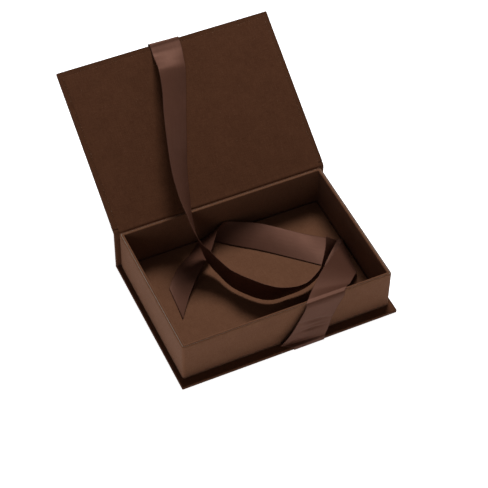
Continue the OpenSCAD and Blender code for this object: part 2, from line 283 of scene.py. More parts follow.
def slab_piece(
    name: str,
    lines: Sequence[np.ndarray],
    r: float,
    place: Optional[Place] = None,
    relief: Optional[Callable[[np.ndarray, np.ndarray], np.ndarray]] = None,
    wear: Optional[Callable[[np.ndarray], np.ndarray]] = None,
) -> bpy.types.Object:
    """A closed slab with rounded edges, cut along three sets of lines.

    Args:
        name: Piece name.
        lines: Grid lines along each of the three local axes.
        r: Radius of the edges.
        place: Takes local points to the part's frame.
        relief: Gives each point's move along its normal from points and normals.
        wear: Gives each point's wear mark.

    Returns:
        The new object.
    """
    x, y, z = lines
    n = (len(x), len(y), len(z))
    ids = -np.ones(n, int)
    edge = np.zeros(n, bool)
    sides = [(axis, end) for axis in range(3) for end in (0, -1)]
    for axis, end in sides:
        edge[face_index(axis, end)] = True
    ids[edge] = np.arange(edge.sum())
    i, j, k = np.nonzero(edge)
    raw = np.stack([x[i], y[j], z[k]], 1)
    lo = np.array([x[0], y[0], z[0]])
    hi = np.array([x[-1], y[-1], z[-1]])
    core = np.clip(raw, lo + r, hi - r)
    normal = unit(raw - core)
    points = core + normal * r
    faces, uvs = [], []
    for axis, end in sides:
        side = ids[face_index(axis, end)]
        quads = np.stack([side[:-1, :-1], side[1:, :-1], side[1:, 1:], side[:-1, 1:]], -1)
        quads = quads.reshape(-1, 4)
        if (axis != 1) != (end == -1):
            quads = quads[:, ::-1]
        faces.append(quads)
        uvs.append(raw[quads][:, :, [q for q in range(3) if q != axis]])
    quads, uv = np.concatenate(faces), np.concatenate(uvs)
    if relief is not None:
        points = points + normal * relief(points, normal)[:, None]
    shade = None if wear is None else wear(points)
    if place is not None:
        points = place(points)
    return new_piece(name, points, quads, uv, shade)


@dataclass
class Outline:
    """A rounded rectangle in plan, the path of the tray's walls.

    Attributes:
        half_x: Half the length along the spine.
        half_y: Half the depth.
        mid_y: Middle of the depth.
        radius: Radius of the upright corners.
        inner_radius: Least radius on the inside.
        corner_cells: Cells round a corner.
        cell: Length of a cell along a straight stretch.
    """

    half_x: float
    half_y: float
    mid_y: float
    radius: float
    inner_radius: float = 0.45
    corner_cells: int = 8
    cell: float = 2.6

    def loop(self, offset: float) -> np.ndarray:
        """Points once round, anticlockwise.

        Args:
            offset: How far outside the outline they run.

        Returns:
            Their x and y.
        """
        a, b = self.half_x + offset, self.half_y + offset
        r = max(self.radius + offset, self.inner_radius)
        nx, ny = int(2 * self.half_x / self.cell), int(2 * self.half_y / self.cell)
        corners = [(1, -1, -90, ny), (1, 1, 0, nx), (-1, 1, 90, ny), (-1, -1, 180, nx)]
        arcs = []
        for sx, sy, start, _ in corners:
            angles = np.radians(start + np.linspace(0, 90, self.corner_cells + 1))
            arcs.append(np.stack([sx * (a - r) + r * np.cos(angles),
                                  sy * (b - r) + r * np.sin(angles)], 1))
        joined = []
        for q, (_, _, _, cells) in enumerate(corners):
            t = np.linspace(0, 1, cells + 1)[1:-1, None]
            joined += [arcs[q], arcs[q][-1] * (1 - t) + arcs[(q + 1) % 4][0] * t]
        return np.concatenate(joined) + np.array([0, self.mid_y])


def wall_piece(name: str, outline: Outline, profile: np.ndarray,
               relief: Optional[Callable[[np.ndarray], np.ndarray]] = None) -> bpy.types.Object:
    """A closed wall swept once round an outline.

    Args:
        name: Piece name.
        outline: The plan.
        profile: Closed section, outward offset and height, anticlockwise seen
            along the sweep with the outside to the right.
        relief: Gives each point's move, outwards on the long walls.

    Returns:
        The new object.
    """
    rings = []
    for offset, z in profile:
        loop = outline.loop(offset)
        rings.append(np.column_stack([loop, np.full(len(loop), z)]))
    grid = np.stack(rings)
    rows, cols = grid.shape[:2]
    quads = grid_quads(rows, cols, True, True)
    uv = grid_uv(quads, cols, run_length(profile), run_length(grid[0]))[..., ::-1]
    points = grid.reshape(-1, 3)
    if relief is not None:
        centre = points - np.array([0, outline.mid_y, 0])
        way = unit(centre * np.array([1, 1, 0]) / np.array([outline.half_x, outline.half_y, 1]) ** 8)
        points = points + way * relief(points)[:, None]
    return new_piece(name, points, quads, uv)


def section_piece(name: str, section: np.ndarray, stations: np.ndarray, inset: np.ndarray,
                  keep: float = 0.42,
                  relief: Optional[Callable[[np.ndarray], np.ndarray]] = None) -> bpy.types.Object:
    """A closed section in Y and Z swept along X, with its ends drawn in.

    Args:
        name: Piece name.
        section: Closed section, y and z of each point.
        stations: Places along X.
        inset: How far the section draws in at each station.
        keep: Least share of the local half thickness that the inset leaves.
        relief: Gives each point's move.

    Returns:
        The new object.
    """
    ahead = np.roll(section, -1, 0) - np.roll(section, 1, 0)
    normal = unit(np.stack([ahead[:, 1], -ahead[:, 0]], 1))
    area = np.sum(section[:, 0] * np.roll(section[:, 1], -1)
                  - section[:, 1] * np.roll(section[:, 0], -1))
    if area > 0:
        normal = -normal
    gap = np.linalg.norm(section[:, None] - section[None], axis=2)
    facing = normal @ normal.T < -0.3
    half = np.where(facing, gap, 99).min(1) / 2
    rings = []
    for x, d in zip(stations, inset):
        move = np.minimum(d, half * (1 - keep))[:, None]
        rings.append(np.column_stack([np.full(len(section), x), section + normal * move]))
    grid = np.stack(rings)
    rows, cols = grid.shape[:2]
    quads = grid_quads(rows, cols, False, True)
    uv = grid_uv(quads, cols, stations, run_length(section))
    points = grid.reshape(-1, 3)
    caps = end_caps(rows, cols)
    quads = np.concatenate([quads, caps])
    uv = np.concatenate([uv, points[caps][:, :, 1:]])
    if relief is not None:
        points = points + relief(points)
    return new_piece(name, points, quads, uv)


# ------------------------------------------------------------------- sizes


@dataclass(frozen=True)
class BoxSizes:
    """Sizes that more than one sub-assembly uses.

    Attributes:
        case_w: Length of base and lid along the spine.
        base_d: Depth of the base with the spine.
        cloth_t: Thickness of the cloth.
        base_t: Thickness of the covered base, and of the covered lid.
        spine_t: Thickness of the covered spine.
        rim_z: Height of the tray's rim.
        floor_z: Height of the tray's floor.
        wall_t: Thickness of the tray's covered walls.
        front_margin: How far the base stands out in front of the tray.
        side_margin: How far it stands out at each side.
        corner_r: Radius of the tray's upright corners.
        lid_d: Depth of the lid from the hinge line.
        open_angle: Angle that the lid is opened by, degrees.
        hinge_slit: Gap between the hinge line and the lid's board.
        hinge_z: Height of the hinge line.
        hinge_up: How far it lies above the shut lid's inner face.
        lining_inset: Margin between the lid's edges and its lining.
        ribbon_w: Width of the ribbons.
        base_ribbon_x: Middle of the base ribbon under the base's edge.
        lid_ribbon_x: Sideways shift of the lid ribbon.
    """

    case_w: float = 179.2
    base_d: float = 131.5
    cloth_t: float = 0.35
    base_t: float = 3.1
    spine_t: float = 2.9
    rim_z: float = 40.1
    floor_z: float = 4.25
    wall_t: float = 3.0
    front_margin: float = 7.1
    side_margin: float = 3.6
    corner_r: float = 2.2
    lid_d: float = 129.7
    open_angle: float = 146.8
    hinge_slit: float = 0.5
    hinge_z: float = 41.6
    hinge_up: float = 0.9
    lining_inset: float = 4.0
    ribbon_w: float = 25.0
    base_ribbon_x: float = 14.5
    lid_ribbon_x: float = 0.3

    @property
    def half_w(self) -> float:
        """Half the length along the spine."""
        return self.case_w / 2

    @property
    def front(self) -> float:
        """Front edge of the base."""
        return -self.base_d / 2

    @property
    def back(self) -> float:
        """Back of the spine, under the hinge line."""
        return self.base_d / 2

    @property
    def tray_front(self) -> float:
        """Outside of the tray's front wall."""
        return self.front + self.front_margin

    @property
    def tray_back(self) -> float:
        """Outside of the tray's back wall."""
        return self.back - self.spine_t

    @property
    def tray_half_w(self) -> float:
        """Half the tray's outer length."""
        return self.half_w - self.side_margin

    def outline(self) -> Outline:
        """Plan of the tray's outside."""
        return Outline(
            half_x=self.tray_half_w,
            half_y=(self.tray_back - self.tray_front) / 2,
            mid_y=(self.tray_back + self.tray_front) / 2,
            radius=self.corner_r,
        )

    def lid_axes(self) -> tuple[np.ndarray, np.ndarray]:
        """The open lid's way from the hinge and its inner face's normal, in Y and Z."""
        c, s = math.cos(math.radians(self.open_angle)), math.sin(math.radians(self.open_angle))
        return np.array([-c, s]), np.array([-s, -c])

    def lid_line(self, p: np.ndarray) -> np.ndarray:
        """Takes points of the lid's section to Y and Z of the frame.

        Args:
            p: For each point, u from the hinge line and h from the outer face.

        Returns:
            Y and Z of each point.
        """
        along, up = self.lid_axes()
        h = p[..., 1:] - (self.base_t - self.hinge_up)
        return np.array([self.back, self.hinge_z]) + p[..., :1] * along + h * up

    def on_lid(self, p: np.ndarray) -> np.ndarray:
        """Takes x, u from the hinge line and h from the outer face to the frame."""
        return np.concatenate([p[..., :1], self.lid_line(p[..., 1:])], -1)


# ------------------------------------------------------------------ pieces


@dataclass
class Case:
    """The base's cloth, the spine's and hinge's, and the lining that goes up the lid.

    Attributes:
        sizes: The box's sizes.
        edge_r: Radius of the base's edges.
        bed_h: Depth of the ribbon's bed under the base.
        bed_side: Its play round the ribbon.
        tab_l: Length of the ribbon's glued end.
        fold_reach: Size of a corner fold.
        fold_rise: How far a corner fold stands up.
        end_r: Radius of the spine cloth's ends.
        lining_up: How far the lining stands over its middle line.
        lining_down: How far it goes below that line.
        hinge_bend: Where the outer cloth starts to follow the lid, and is all with it; not used.
        lining_bend: The same for the lining; not used.
    """

    sizes: BoxSizes
    edge_r: float = 0.8
    bed_h: float = 0.41
    bed_side: float = 0.3
    tab_l: float = 28.0
    fold_reach: float = 9.0
    fold_rise: float = 0.07
    end_r: float = 0.9
    lining_up: float = 0.08
    lining_down: float = 0.25
    hinge_bend: Bend = ((0, 0.0658, 0.0383), (0, 0.0672, 0.0399))
    lining_bend: Bend = ((0, 0.0630, 0.0403), (0, 0.0654, 0.0426))

    def base_relief(self, p: np.ndarray, n: np.ndarray) -> np.ndarray:
        """Moves of the base's cloth: the ribbon's bed, corner folds, unevenness.

        Args:
            p: Points.
            n: Their normals.

        Returns:
            Each point's move along its normal.
        """
        s = self.sizes
        half = s.ribbon_w / 2 + self.bed_side
        in_bed = (np.abs(p[:, 0] - s.base_ribbon_x) < half) & (
            p[:, 1] < s.front + self.tab_l + self.bed_side
        )
        move = np.where(in_bed & (n[:, 2] < -0.9), -self.bed_h, 0.0)
        side = s.half_w - np.abs(p[:, 0])
        ends = np.minimum(p[:, 1] - s.front, s.back - p[:, 1])
        corner = (side < self.fold_reach) & (ends < self.fold_reach) & (n[:, 2] > 0.5)
        fold = self.fold_rise * smoothstep(ends - side, -0.35, 0.35)
        move += np.where(corner, fold, 0.0)
        top = n[:, 2] > -0.5
        return move + np.where(top, 0.03 * wobble(p, 24, 3), 0.0)

    def base(self) -> bpy.types.Object:
        """Cloth round the base board."""
        s = self.sizes
        half = s.ribbon_w / 2 + self.bed_side
        beds = [s.base_ribbon_x - half, s.base_ribbon_x + half]
        lines = [
            cut_lines(-s.half_w, s.half_w, self.edge_r, 8, 0.4, 4.0, beds),
            cut_lines(s.front, s.back, self.edge_r, 8, 0.4, 4.0,
                      [s.front + self.tab_l + self.bed_side]),
            cut_lines(0, s.base_t, self.edge_r, 0, 1, 0.7),
        ]
        return slab_piece("base_cover", lines, self.edge_r, relief=self.base_relief)

    def hinge_section(self) -> np.ndarray:
        """Section of spine and hinge, up the outside and down the inside."""
        s = self.sizes
        outer = np.array([
            (-0.35, s.base_t + 0.03), (-0.12, s.base_t + 0.12), (0.02, s.base_t + 0.5),
            (0.04, s.base_t + 1.4), (0.04, 12), (0.04, 20), (0.04, 28), (0.04, 34),
            (0.04, 37.4), (0.08, 38.3), (0.22, 38.9), (0.5, 39.3), (0.95, 39.6)])
        on_lid = np.array([
            (0.35, -0.12), (1.1, -0.1), (2.2, -0.06), (3.4, -0.03), (4.4, -0.02), (4.2, 0.5),
            (3.4, 0.55), (2.6, 0.6), (1.2, 0.8), (0.9, 1.6), (0.75, 2.3)])
        inner = np.array([
            (-0.7, 41.8), (-1.5, 41.25), (-2.2, 40.6), (-2.62, 39.95), (-2.82, 39.3),
            (-2.86, 38.4), (-2.86, 34), (-2.86, 28), (-2.86, 20), (-2.86, 12),
            (-2.86, s.base_t + 1.4), (-2.6, s.base_t + 0.1), (-1.6, s.base_t + 0.03),
            (-0.9, s.base_t + 0.03)])
        behind = np.array([s.back, 0])
        return np.concatenate([outer + behind, s.lid_line(on_lid), inner + behind])

    def hinge(self) -> bpy.types.Object:
        """Outer cloth of the spine, round the hinge and on to the lid."""
        s = self.sizes
        r = self.end_r
        ends = np.array([0, 0.12, 0.3, 0.55, r])
        inset = r - np.sqrt(np.maximum(0, r * r - (r - ends) ** 2))
        middle = np.linspace(-s.half_w + 2.5, s.half_w - 2.5, 46)
        stations = np.concatenate([-s.half_w + ends, middle, (s.half_w - ends)[::-1]])
        insets = np.concatenate([inset, np.zeros(len(middle)), inset[::-1]])
        return section_piece("spine_and_hinge_cloth", self.hinge_section(), stations, insets)

    def lining_section(self) -> np.ndarray:
        """Section of the lining, from behind the tray over the hinge up the lid."""
        s = self.sizes
        end = s.lid_d - s.lining_inset
        low = np.array([
            (-2.9, 34.0), (-2.9, 37.5), (-2.89, 39.4), (-2.88, 40.0), (-2.8, 40.5),
            (-2.56, 41.0), (-2.2, 41.36), (-1.76, 41.68), (-1.2, 42.03)])
        rows = np.concatenate([[0.1, 1.2, 2.6, 4.2, 6.2], np.linspace(8.8, end - 1.2, 42),
                               [end - 0.3, end]])
        high = s.lid_line(np.column_stack([rows, np.full(len(rows), s.base_t + 0.02)]))
        face = np.concatenate([low + np.array([s.back, 0]), high])
        ahead = np.gradient(face, axis=0)
        out = unit(np.stack([-ahead[:, 1], ahead[:, 0]], 1))
        return np.concatenate([face + out * self.lining_up, (face - out * self.lining_down)[::-1]])

    def lining_relief(self, p: np.ndarray) -> np.ndarray:
        """Moves that leave the lining on the lid a little uneven.

        Args:
            p: Points.

        Returns:
            Each point's move.
        """
        s = self.sizes
        share = smoothstep(p[:, 1], s.back + 2, s.back + 12)
        way = np.array([0, *s.lid_axes()[1]])
        return (0.04 * share * wobble(p, 40, 31))[:, None] * way

    def lining(self) -> bpy.types.Object:
        """Inner lining, one sheet from behind the tray to the lid's margin."""
        x0 = self.sizes.half_w - self.sizes.lining_inset
        ends, inset = np.array([0, 0.06, 0.16]), [0.1, 0.03, 0]
        middle = np.linspace(-x0 + 1, x0 - 1, 60)
        stations = np.concatenate([-x0 + ends, middle, (x0 - ends)[::-1]])
        insets = np.concatenate([inset, np.zeros(len(middle)), inset[::-1]])
        return section_piece("hinge_and_lid_lining", self.lining_section(), stations, insets,
                             relief=self.lining_relief)

    def build(self) -> None:
        """Makes the cloth of base and hinge, and the lining."""
        base, hinge, lining = self.base(), self.hinge(), self.lining()
        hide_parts("base_cloth")
        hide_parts("spine_cloth", "hinge_cloth")
        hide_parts("spine_lining", "hinge_lining", "lid_lining")
        finish_piece(base, Slot.CASE_CLOTH, Body.CASE)
        for piece, slot, (start, end) in (
            (hinge, Slot.CASE_CLOTH, self.hinge_bend),
            (lining, Slot.LID_LINING, self.lining_bend),
        ):
            finish_piece(piece, slot, None)
            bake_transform(piece)


@dataclass
class Tray:
    """The tray: outer wrap, rolled rim, inner lining and floor.

    Attributes:
        sizes: The box's sizes.
        rim_r: Radius of the rim's edges.
        seam_at: Distance of the seam from the wall's outside.
        seam_w: Width of the seam between wrap and lining.
        seam_depth: Its depth.
    """

    sizes: BoxSizes
    rim_r: float = 0.8
    seam_at: float = 0.9
    seam_w: float = 0.34
    seam_depth: float = 0.5

    def arc(self, centre: float, way: float) -> list[list[float]]:
        """Points round a rim edge, from the wall's face to the top.

        Args:
            centre: Offset of the arc's centre.
            way: 1 for the outer edge and -1 for the inner.

        Returns:
            Offset and height of each point.
        """
        z = self.sizes.rim_z - self.rim_r
        return [
            [centre + way * self.rim_r * math.cos(a), z + self.rim_r * math.sin(a)]
            for a in np.radians(np.linspace(0, 90, 7))
        ]

    def wall_heights(self, low: float, high: float, cell: float = 2.6) -> np.ndarray:
        """Heights of the rows up a wall, without the last."""
        return np.linspace(low, high, max(3, int((high - low) / cell)))[:-1]

    def wrap(self) -> bpy.types.Object:
        """Outer wrap of the walls, up to the seam on the rim."""
        s = self.sizes
        top, back = s.rim_z, -s.cloth_t + 0.02
        rows = self.wall_heights(s.base_t, top - self.rim_r)
        face = [[0.0, z] for z in rows] + self.arc(-self.rim_r, 1)
        lip = [[-self.seam_at, top - 0.03],
               [-self.seam_at - 0.04, top - self.seam_depth],
               [back, top - s.cloth_t + 0.03]]
        inside = [[back, z] for z in rows[::-1]]
        return wall_piece("tray_outer_wrap", s.outline(), np.array(face + lip + inside),
                          relief=lambda p: 0.05 * wobble(p, 30, 11))

    def lining(self) -> bpy.types.Object:
        """Lining over the rim's top and down the inside."""
        s = self.sizes
        top, inner = s.rim_z, -s.wall_t
        back = inner + s.cloth_t - 0.02
        start = -self.seam_at - 0.04 - self.seam_w
        over = [
            [start, top - self.seam_depth], [start - 0.03, top - 0.06], [start - 0.12, top],
            [(start + inner + self.rim_r) / 2, top + 0.01],
        ]
        over += self.arc(inner + self.rim_r, -1)[::-1]
        rows = self.wall_heights(s.floor_z - 0.5, top - self.rim_r)
        down = [[inner, z] for z in rows[::-1]]
        up = [[back, z] for z in [*rows, top - s.cloth_t + 0.02]]
        up += [[start - 0.1, top - s.cloth_t + 0.02]]
        return wall_piece("tray_inner_lining", s.outline(), np.array(over + down + up),
                          relief=lambda p: 0.03 * wobble(p, 36, 5))

    def floor(self) -> bpy.types.Object:
        """Cloth over the floor card, with softened edges."""
        lo, hi = (np.array(corner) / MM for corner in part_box("floor_cloth"))
        r = 0.17
        lines = [
            cut_lines(lo[0], hi[0], r, 4, 0.6, 3.0),
            cut_lines(lo[1], hi[1], r, 4, 0.6, 3.0),
            cut_lines(lo[2], hi[2], r, 0, 1, 0.2),
        ]
        return slab_piece(
            "tray_floor_cloth", lines, r,
            relief=lambda p, n: np.where(n[:, 2] > 0.5, 0.05 * wobble(p, 45, 9), 0),
        )

    def build(self) -> None:
        """Makes the tray's cloth pieces."""
        for piece, node in (
            (self.wrap(), "tray_wrap"),
            (self.lining(), "tray_lining"),
            (self.floor(), "floor_cloth"),
        ):
            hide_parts(node)
            finish_piece(piece, Slot.TRAY_CLOTH, Body.CASE)


@dataclass
class Lid:
    """The lid's cloth with its turned-in margin, and the lining's cut threads.

    Attributes:
        sizes: The box's sizes.
        edge_r: Radius of the lid's edges.
        margin_drop: How far the inner face lies below the rounded edge.
        fold_reach: Size of a corner fold.
        fold_rise: How far a corner fold stands up.
    """

    sizes: BoxSizes
    edge_r: float = 0.8
    margin_drop: float = 0.12
    fold_reach: float = 6.0
    fold_rise: float = 0.09

    def cover_relief(self, p: np.ndarray, n: np.ndarray) -> np.ndarray:
        """Moves of the lid's cloth: turned-in margin, corner folds, unevenness.

        Args:
            p: Points.
            n: Their normals.

        Returns:
            Each point's move along its normal.
        """
        s = self.sizes
        side = s.half_w - np.abs(p[:, 0])
        ends = np.minimum(p[:, 1] - s.hinge_slit, s.lid_d - p[:, 1])
        inside = n[:, 2] > 0.5
        corner = inside & (side < self.fold_reach) & (ends < self.fold_reach)
        drop = np.where(inside, -self.margin_drop * smoothstep(np.minimum(side, ends), 0.6, 1.6), 0)
        fold = np.where(corner, self.fold_rise * smoothstep(ends - side, -0.3, 0.3), 0)
        return drop + fold + 0.03 * wobble(p, 26, 21)

    def cover(self) -> bpy.types.Object:
        """Outer cloth of the lid."""
        s = self.sizes
        lines = [
            cut_lines(-s.half_w, s.half_w, self.edge_r, 6, 0.4, 4.0),
            cut_lines(s.hinge_slit, s.lid_d, self.edge_r, 6, 0.4, 4.0),
            cut_lines(0, s.base_t, self.edge_r, 0, 1, 0.7),
        ]
        return slab_piece("lid_cover", lines, self.edge_r, place=s.on_lid,
                          relief=self.cover_relief)

    def build(self) -> None:
        """Makes the lid's cloth and the threads on its lining's cut edge."""
        cover = self.cover()
        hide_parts("lid_cloth")
        finish_piece(cover, Slot.CASE_CLOTH, Body.LID)
        threads = CutThreads(self.sizes).bake()
        finish_piece(threads, Slot.LID_LINING, Body.LID)


# ----------------------------------------------------------------- ribbons


def spline(a: np.ndarray, b: np.ndarray, c: np.ndarray, d: np.ndarray, t: float) -> np.ndarray:
    """A smooth curve from b to c that heads along a-c at b and b-d at c.

    Args:
        a: Station before b.
        b: Where the curve starts.
        c: Where it ends.
        d: Station after c.
        t: Share of the way.

    Returns:
        The point there.
    """
    length = np.linalg.norm(c - b)
    go = (c - a) * length / (np.linalg.norm(b - a) + length)
    come = (d - b) * length / (np.linalg.norm(d - c) + length)
    return (b + go * t + (3 * (c - b) - 2 * go - come) * t * t
            + (2 * (b - c) + go + come) * t ** 3)


def route(p: np.ndarray, n: int) -> np.ndarray:
    """Runs a smooth curve through stations.

    Args:
        p: Stations, one per row.
        n: Steps from one station to the next.

    Returns:
        Points of the curve, with the last station.
    """
    last = len(p) - 1
    out = [spline(p[max(i - 1, 0)], p[i], p[i + 1], p[min(i + 2, last)], j / n)
           for i in range(last) for j in range(n)]
    return np.array(out + [p[last]])


@dataclass(frozen=True)
class Crease:
    """A soft wrinkle across a ribbon.

    Attributes:
        at: Station number where it crosses the ribbon's middle.
        skew: Stations that it runs on from the left to the right edge.
        height: How far it stands out, millimetres.
        width: Its width along the ribbon, in stations.
        middle: Share of the ribbon's width at which it is highest.
        reach: How far it runs across, as a share of the width.
    """

    at: float
    skew: float
    height: float
    width: float
    middle: float = 0.5
    reach: float = 0.5


@dataclass
class Ribbon:
    """A satin ribbon given by stations along both of its edges.

    Attributes:
        name: Piece name.
        sizes: The box's sizes.
        left: Stations along the left edge.
        right: Stations along the right edge.
        thickness: The ribbon's thickness.
        steps: Rows from one station to the next.
        across: Cells across the width.
        bow: How far the free ribbon bows across its width.
        calm_from: Station from which it bows; before it the ribbon lies flat.
        creases: Wrinkles.
    """

    name: str
    sizes: BoxSizes
    left: np.ndarray
    right: np.ndarray
    thickness: float = 0.34
    steps: int = 12
    across: int = 14
    bow: float = 0.25
    calm_from: float = 0.0
    creases: Sequence[Crease] = ()

    def surface(self) -> tuple[np.ndarray, np.ndarray]:
        """Middle surface and its normals, rows along and columns across."""
        a, b = route(self.left, self.steps), route(self.right, self.steps)
        t = np.linspace(0, 1, self.across + 1)
        t = 0.5 - 0.5 * np.cos(np.pi * t) * (1 - 0.25 * np.sin(np.pi * t) ** 2)
        mid = a[:, None] * (1 - t)[None, :, None] + b[:, None] * t[None, :, None]
        normal = unit(np.cross(np.gradient(mid, axis=0), np.gradient(mid, axis=1)))
        station = np.arange(len(a)) / self.steps
        free = smoothstep(station, self.calm_from, self.calm_from + 2.5)
        lift = free[:, None] * ((4 * t * (1 - t) - 0.5) * self.bow)[None, :]
        for crease in self.creases:
            d = (station[:, None] - crease.at - crease.skew * (t[None, :] - 0.5)) / crease.width
            fade = np.exp(-(((t - crease.middle) / crease.reach) ** 2))[None, :]
            lift = lift + crease.height * np.exp(-d * d) * fade
        return mid + normal * lift[..., None], normal

    def sheet(self) -> bpy.types.Object:
        """The woven ribbon as a thin closed sheet."""
        mid, normal = self.surface()
        rows, cols = mid.shape[:2]
        half = normal * (self.thickness / 2)
        ring = np.concatenate([mid + half, (mid - half)[:, ::-1]], 1)
        wide = np.linspace(0, self.sizes.ribbon_w, cols)
        wide = np.concatenate([wide, wide[::-1] + BACK_SIDE, wide[:1]])
        quads = grid_quads(rows, 2 * cols, False, True)
        uv = grid_uv(quads, 2 * cols, run_length(mid[:, cols // 2]), wide)[..., ::-1]
        caps = end_caps(rows, 2 * cols)
        quads = np.concatenate([quads, caps])
        uv = np.concatenate([uv, np.zeros((len(caps), 4, 2))])
        return new_piece(self.name, ring.reshape(-1, 3), quads, uv)

    def length(self) -> float:
        """Length along the middle, millimetres."""
        mid = (route(self.left, self.steps) + route(self.right, self.steps)) / 2
        return float(np.linalg.norm(np.diff(mid, axis=0), axis=1).sum())


@dataclass
class Ribbons:
    """Both tie ribbons, within a few millimetres of the part's own strips.

    Attributes:
        sizes: The box's sizes.
        half: Half a ribbon's width.
        skim: Height of a ribbon's middle over a face that it lies on.
        under: Height of the base ribbon's middle in its bed.
        drawn_depth: Inner depth of the tray that the stations were drawn for.
        drawn_height: Its inner height.
        drawn_lid: Depth of the lid that they were drawn for.
        rise_at: Places along the lid, from the hinge line.
        rise: How far the soft ribbon lifts there.
        bend: Where the lid ribbon starts to follow the lid, and where it is all with it; not used.
    """

    sizes: BoxSizes
    half: float = 12.5
    skim: float = 0.25
    under: float = 0.195
    drawn_depth: float = 115.5
    drawn_height: float = 36.0
    drawn_lid: float = 129.0
    rise_at: Sequence[float] = (24, 51, 74, 86, 97, 105, 113, 118, 121, 124, 126.5)
    rise: Sequence[float] = (1, 3.5, 2.8, 1.5, 4.6, 4.4, 3.2, 2.2, 1.5, 0.9, 0)
    bend: Bend = ((0, 0.0465, 0.0325), (0, 0.0625, 0.0635))

    def tray(self, stations: Stations) -> np.ndarray:
        """Takes stations in the tray to the frame.

        Args:
            stations: x, distance back from the front wall, height above the floor.

        Returns:
            Their points.
        """
        s, p = self.sizes, np.array(stations, float)
        front = s.tray_front + s.wall_t
        depth = (s.tray_back - s.wall_t - front) / self.drawn_depth
        high = (s.rim_z - s.floor_z) / self.drawn_height
        return np.stack([p[:, 0], front + p[:, 1] * depth, s.floor_z + p[:, 2] * high], 1)

    def lid(self, stations: Stations) -> np.ndarray:
        """Takes stations on the lid to the frame.

        Args:
            stations: x, u from the hinge line, height above the lid's inner face.

        Returns:
            Their points.
        """
        p = np.array(stations, float)
        p[:, 2] += np.where(p[:, 2] > 0, np.interp(p[:, 1], self.rise_at, self.rise), 0)
        p[:, 0] += self.sizes.lid_ribbon_x
        p[:, 1] *= self.sizes.lid_d / self.drawn_lid
        p[:, 2] += self.sizes.base_t
        return self.sizes.on_lid(p)

    def edge(self, stations: Stations) -> np.ndarray:
        """Takes stations round the base's front edge to the frame.

        Args:
            stations: x from the ribbon's middle, base edge 0 to wall 1, real height.

        Returns:
            Their points.
        """
        s, p = self.sizes, np.array(stations, float)
        return np.stack([s.base_ribbon_x + p[:, 0], s.front + p[:, 1] * s.front_margin, p[:, 2]], 1)

    def front(self, stations: Stations) -> np.ndarray:
        """Takes stations as for edge, but with heights from base top 0 to rim 1."""
        p = self.edge(stations)
        return p * (1, 1, self.sizes.rim_z - self.sizes.base_t) + (0, 0, self.sizes.base_t)

    def lid_ribbon(self) -> Ribbon:
        """Ribbon from the lid's front edge down into the tray."""
        h, t, k = self.half, self.sizes.base_t, self.skim
        left = np.concatenate([
            self.lid([
                [-h, 101.2, -t - k], [-h, 113, -t - k],
                [-h, 126, -t - k], [-h, 128.8, -t - k], [-h, 129.9, -t + 0.3],
                [-h, 130.6, -1.6], [-h + 0.3, 129.7, 0.35], [-12.2, 126.5, 0.75],
                [-12.43, 123.81, 0.3], [-12.71, 121.14, 0.3], [-13.09, 118.39, 0.9],
                [-13.84, 113.52, 3.6], [-15.27, 105.71, 8], [-19.14, 88.01, 12],
                [-23.55, 75.18, 13.5], [-29.91, 52.45, 15.5], [-35.26, 26.22, 18]]),
            self.tray([
                [-37.17, 112.74, 59.33], [-36.9, 100.63, 53.54], [-36.1, 91.15, 46.62],
                [-33.76, 84.29, 39.55],
                [-31, 80.5, 35], [-28.5, 78, 32.5], [-25.5, 72, 29], [-22, 65.5, 26],
                [-19, 59.5, 24.5], [-15.5, 51, 26.5], [-10.5, 43, 27.5], [-2, 33, 27.5],
                [6.5, 26.5, 27], [18.5, 23, 26], [27, 23, 26], [32.5, 25, 26],
                [42.5, 30.7, 26.9], [47.5, 36.6, 27.5], [52.7, 43.4, 27.8],
                [57.1, 50.3, 27.8], [60.8, 57.3, 27.6]]),
        ])
        right = np.concatenate([
            self.lid([
                [h, 101.2, -t - k], [h, 113, -t - k],
                [h, 126, -t - k], [h, 128.8, -t - k], [h, 129.5, -t + 0.4],
                [h, 129.55, -1.6], [h, 129.4, 0.4], [h - 0.2, 126.6, 0.7],
                [12.19, 123.24, 0.3], [11.71, 120.28, 0.3], [11.13, 117.32, 0.35],
                [9.67, 110.9, 0.4], [7.92, 103.01, 0.5], [2.25, 84.74, 0.5],
                [-2.87, 71.89, 0.5], [-10.83, 50.14, 0.5], [-18.39, 26.87, 0.6]]),
            self.tray([
                [-23.81, 125.17, 43.68], [-26.75, 115.21, 37.65], [-28.45, 105.15, 28.63],
                [-28.5, 99, 21],
                [-27.5, 94.5, 15], [-27.2, 90, 11.7], [-26.2, 85.6, 8.6], [-24.5, 80.5, 6],
                [-22.5, 74.5, 4.5], [-18.5, 61, 3.5], [-12.5, 51, 3], [-2.5, 39.5, 3],
                [6.5, 35, 3], [19, 34.5, 3], [28.5, 34.5, 3.5], [37.5, 36.2, 4],
                [48.6, 41.3, 5.1], [56.5, 48.2, 7.3], [64.5, 55.1, 9.1], [70.2, 60.1, 9],
                [75.2, 65, 8.7]]),
        ])
        return Ribbon("lid_ribbon_satin", self.sizes, left, right, calm_from=10.0)

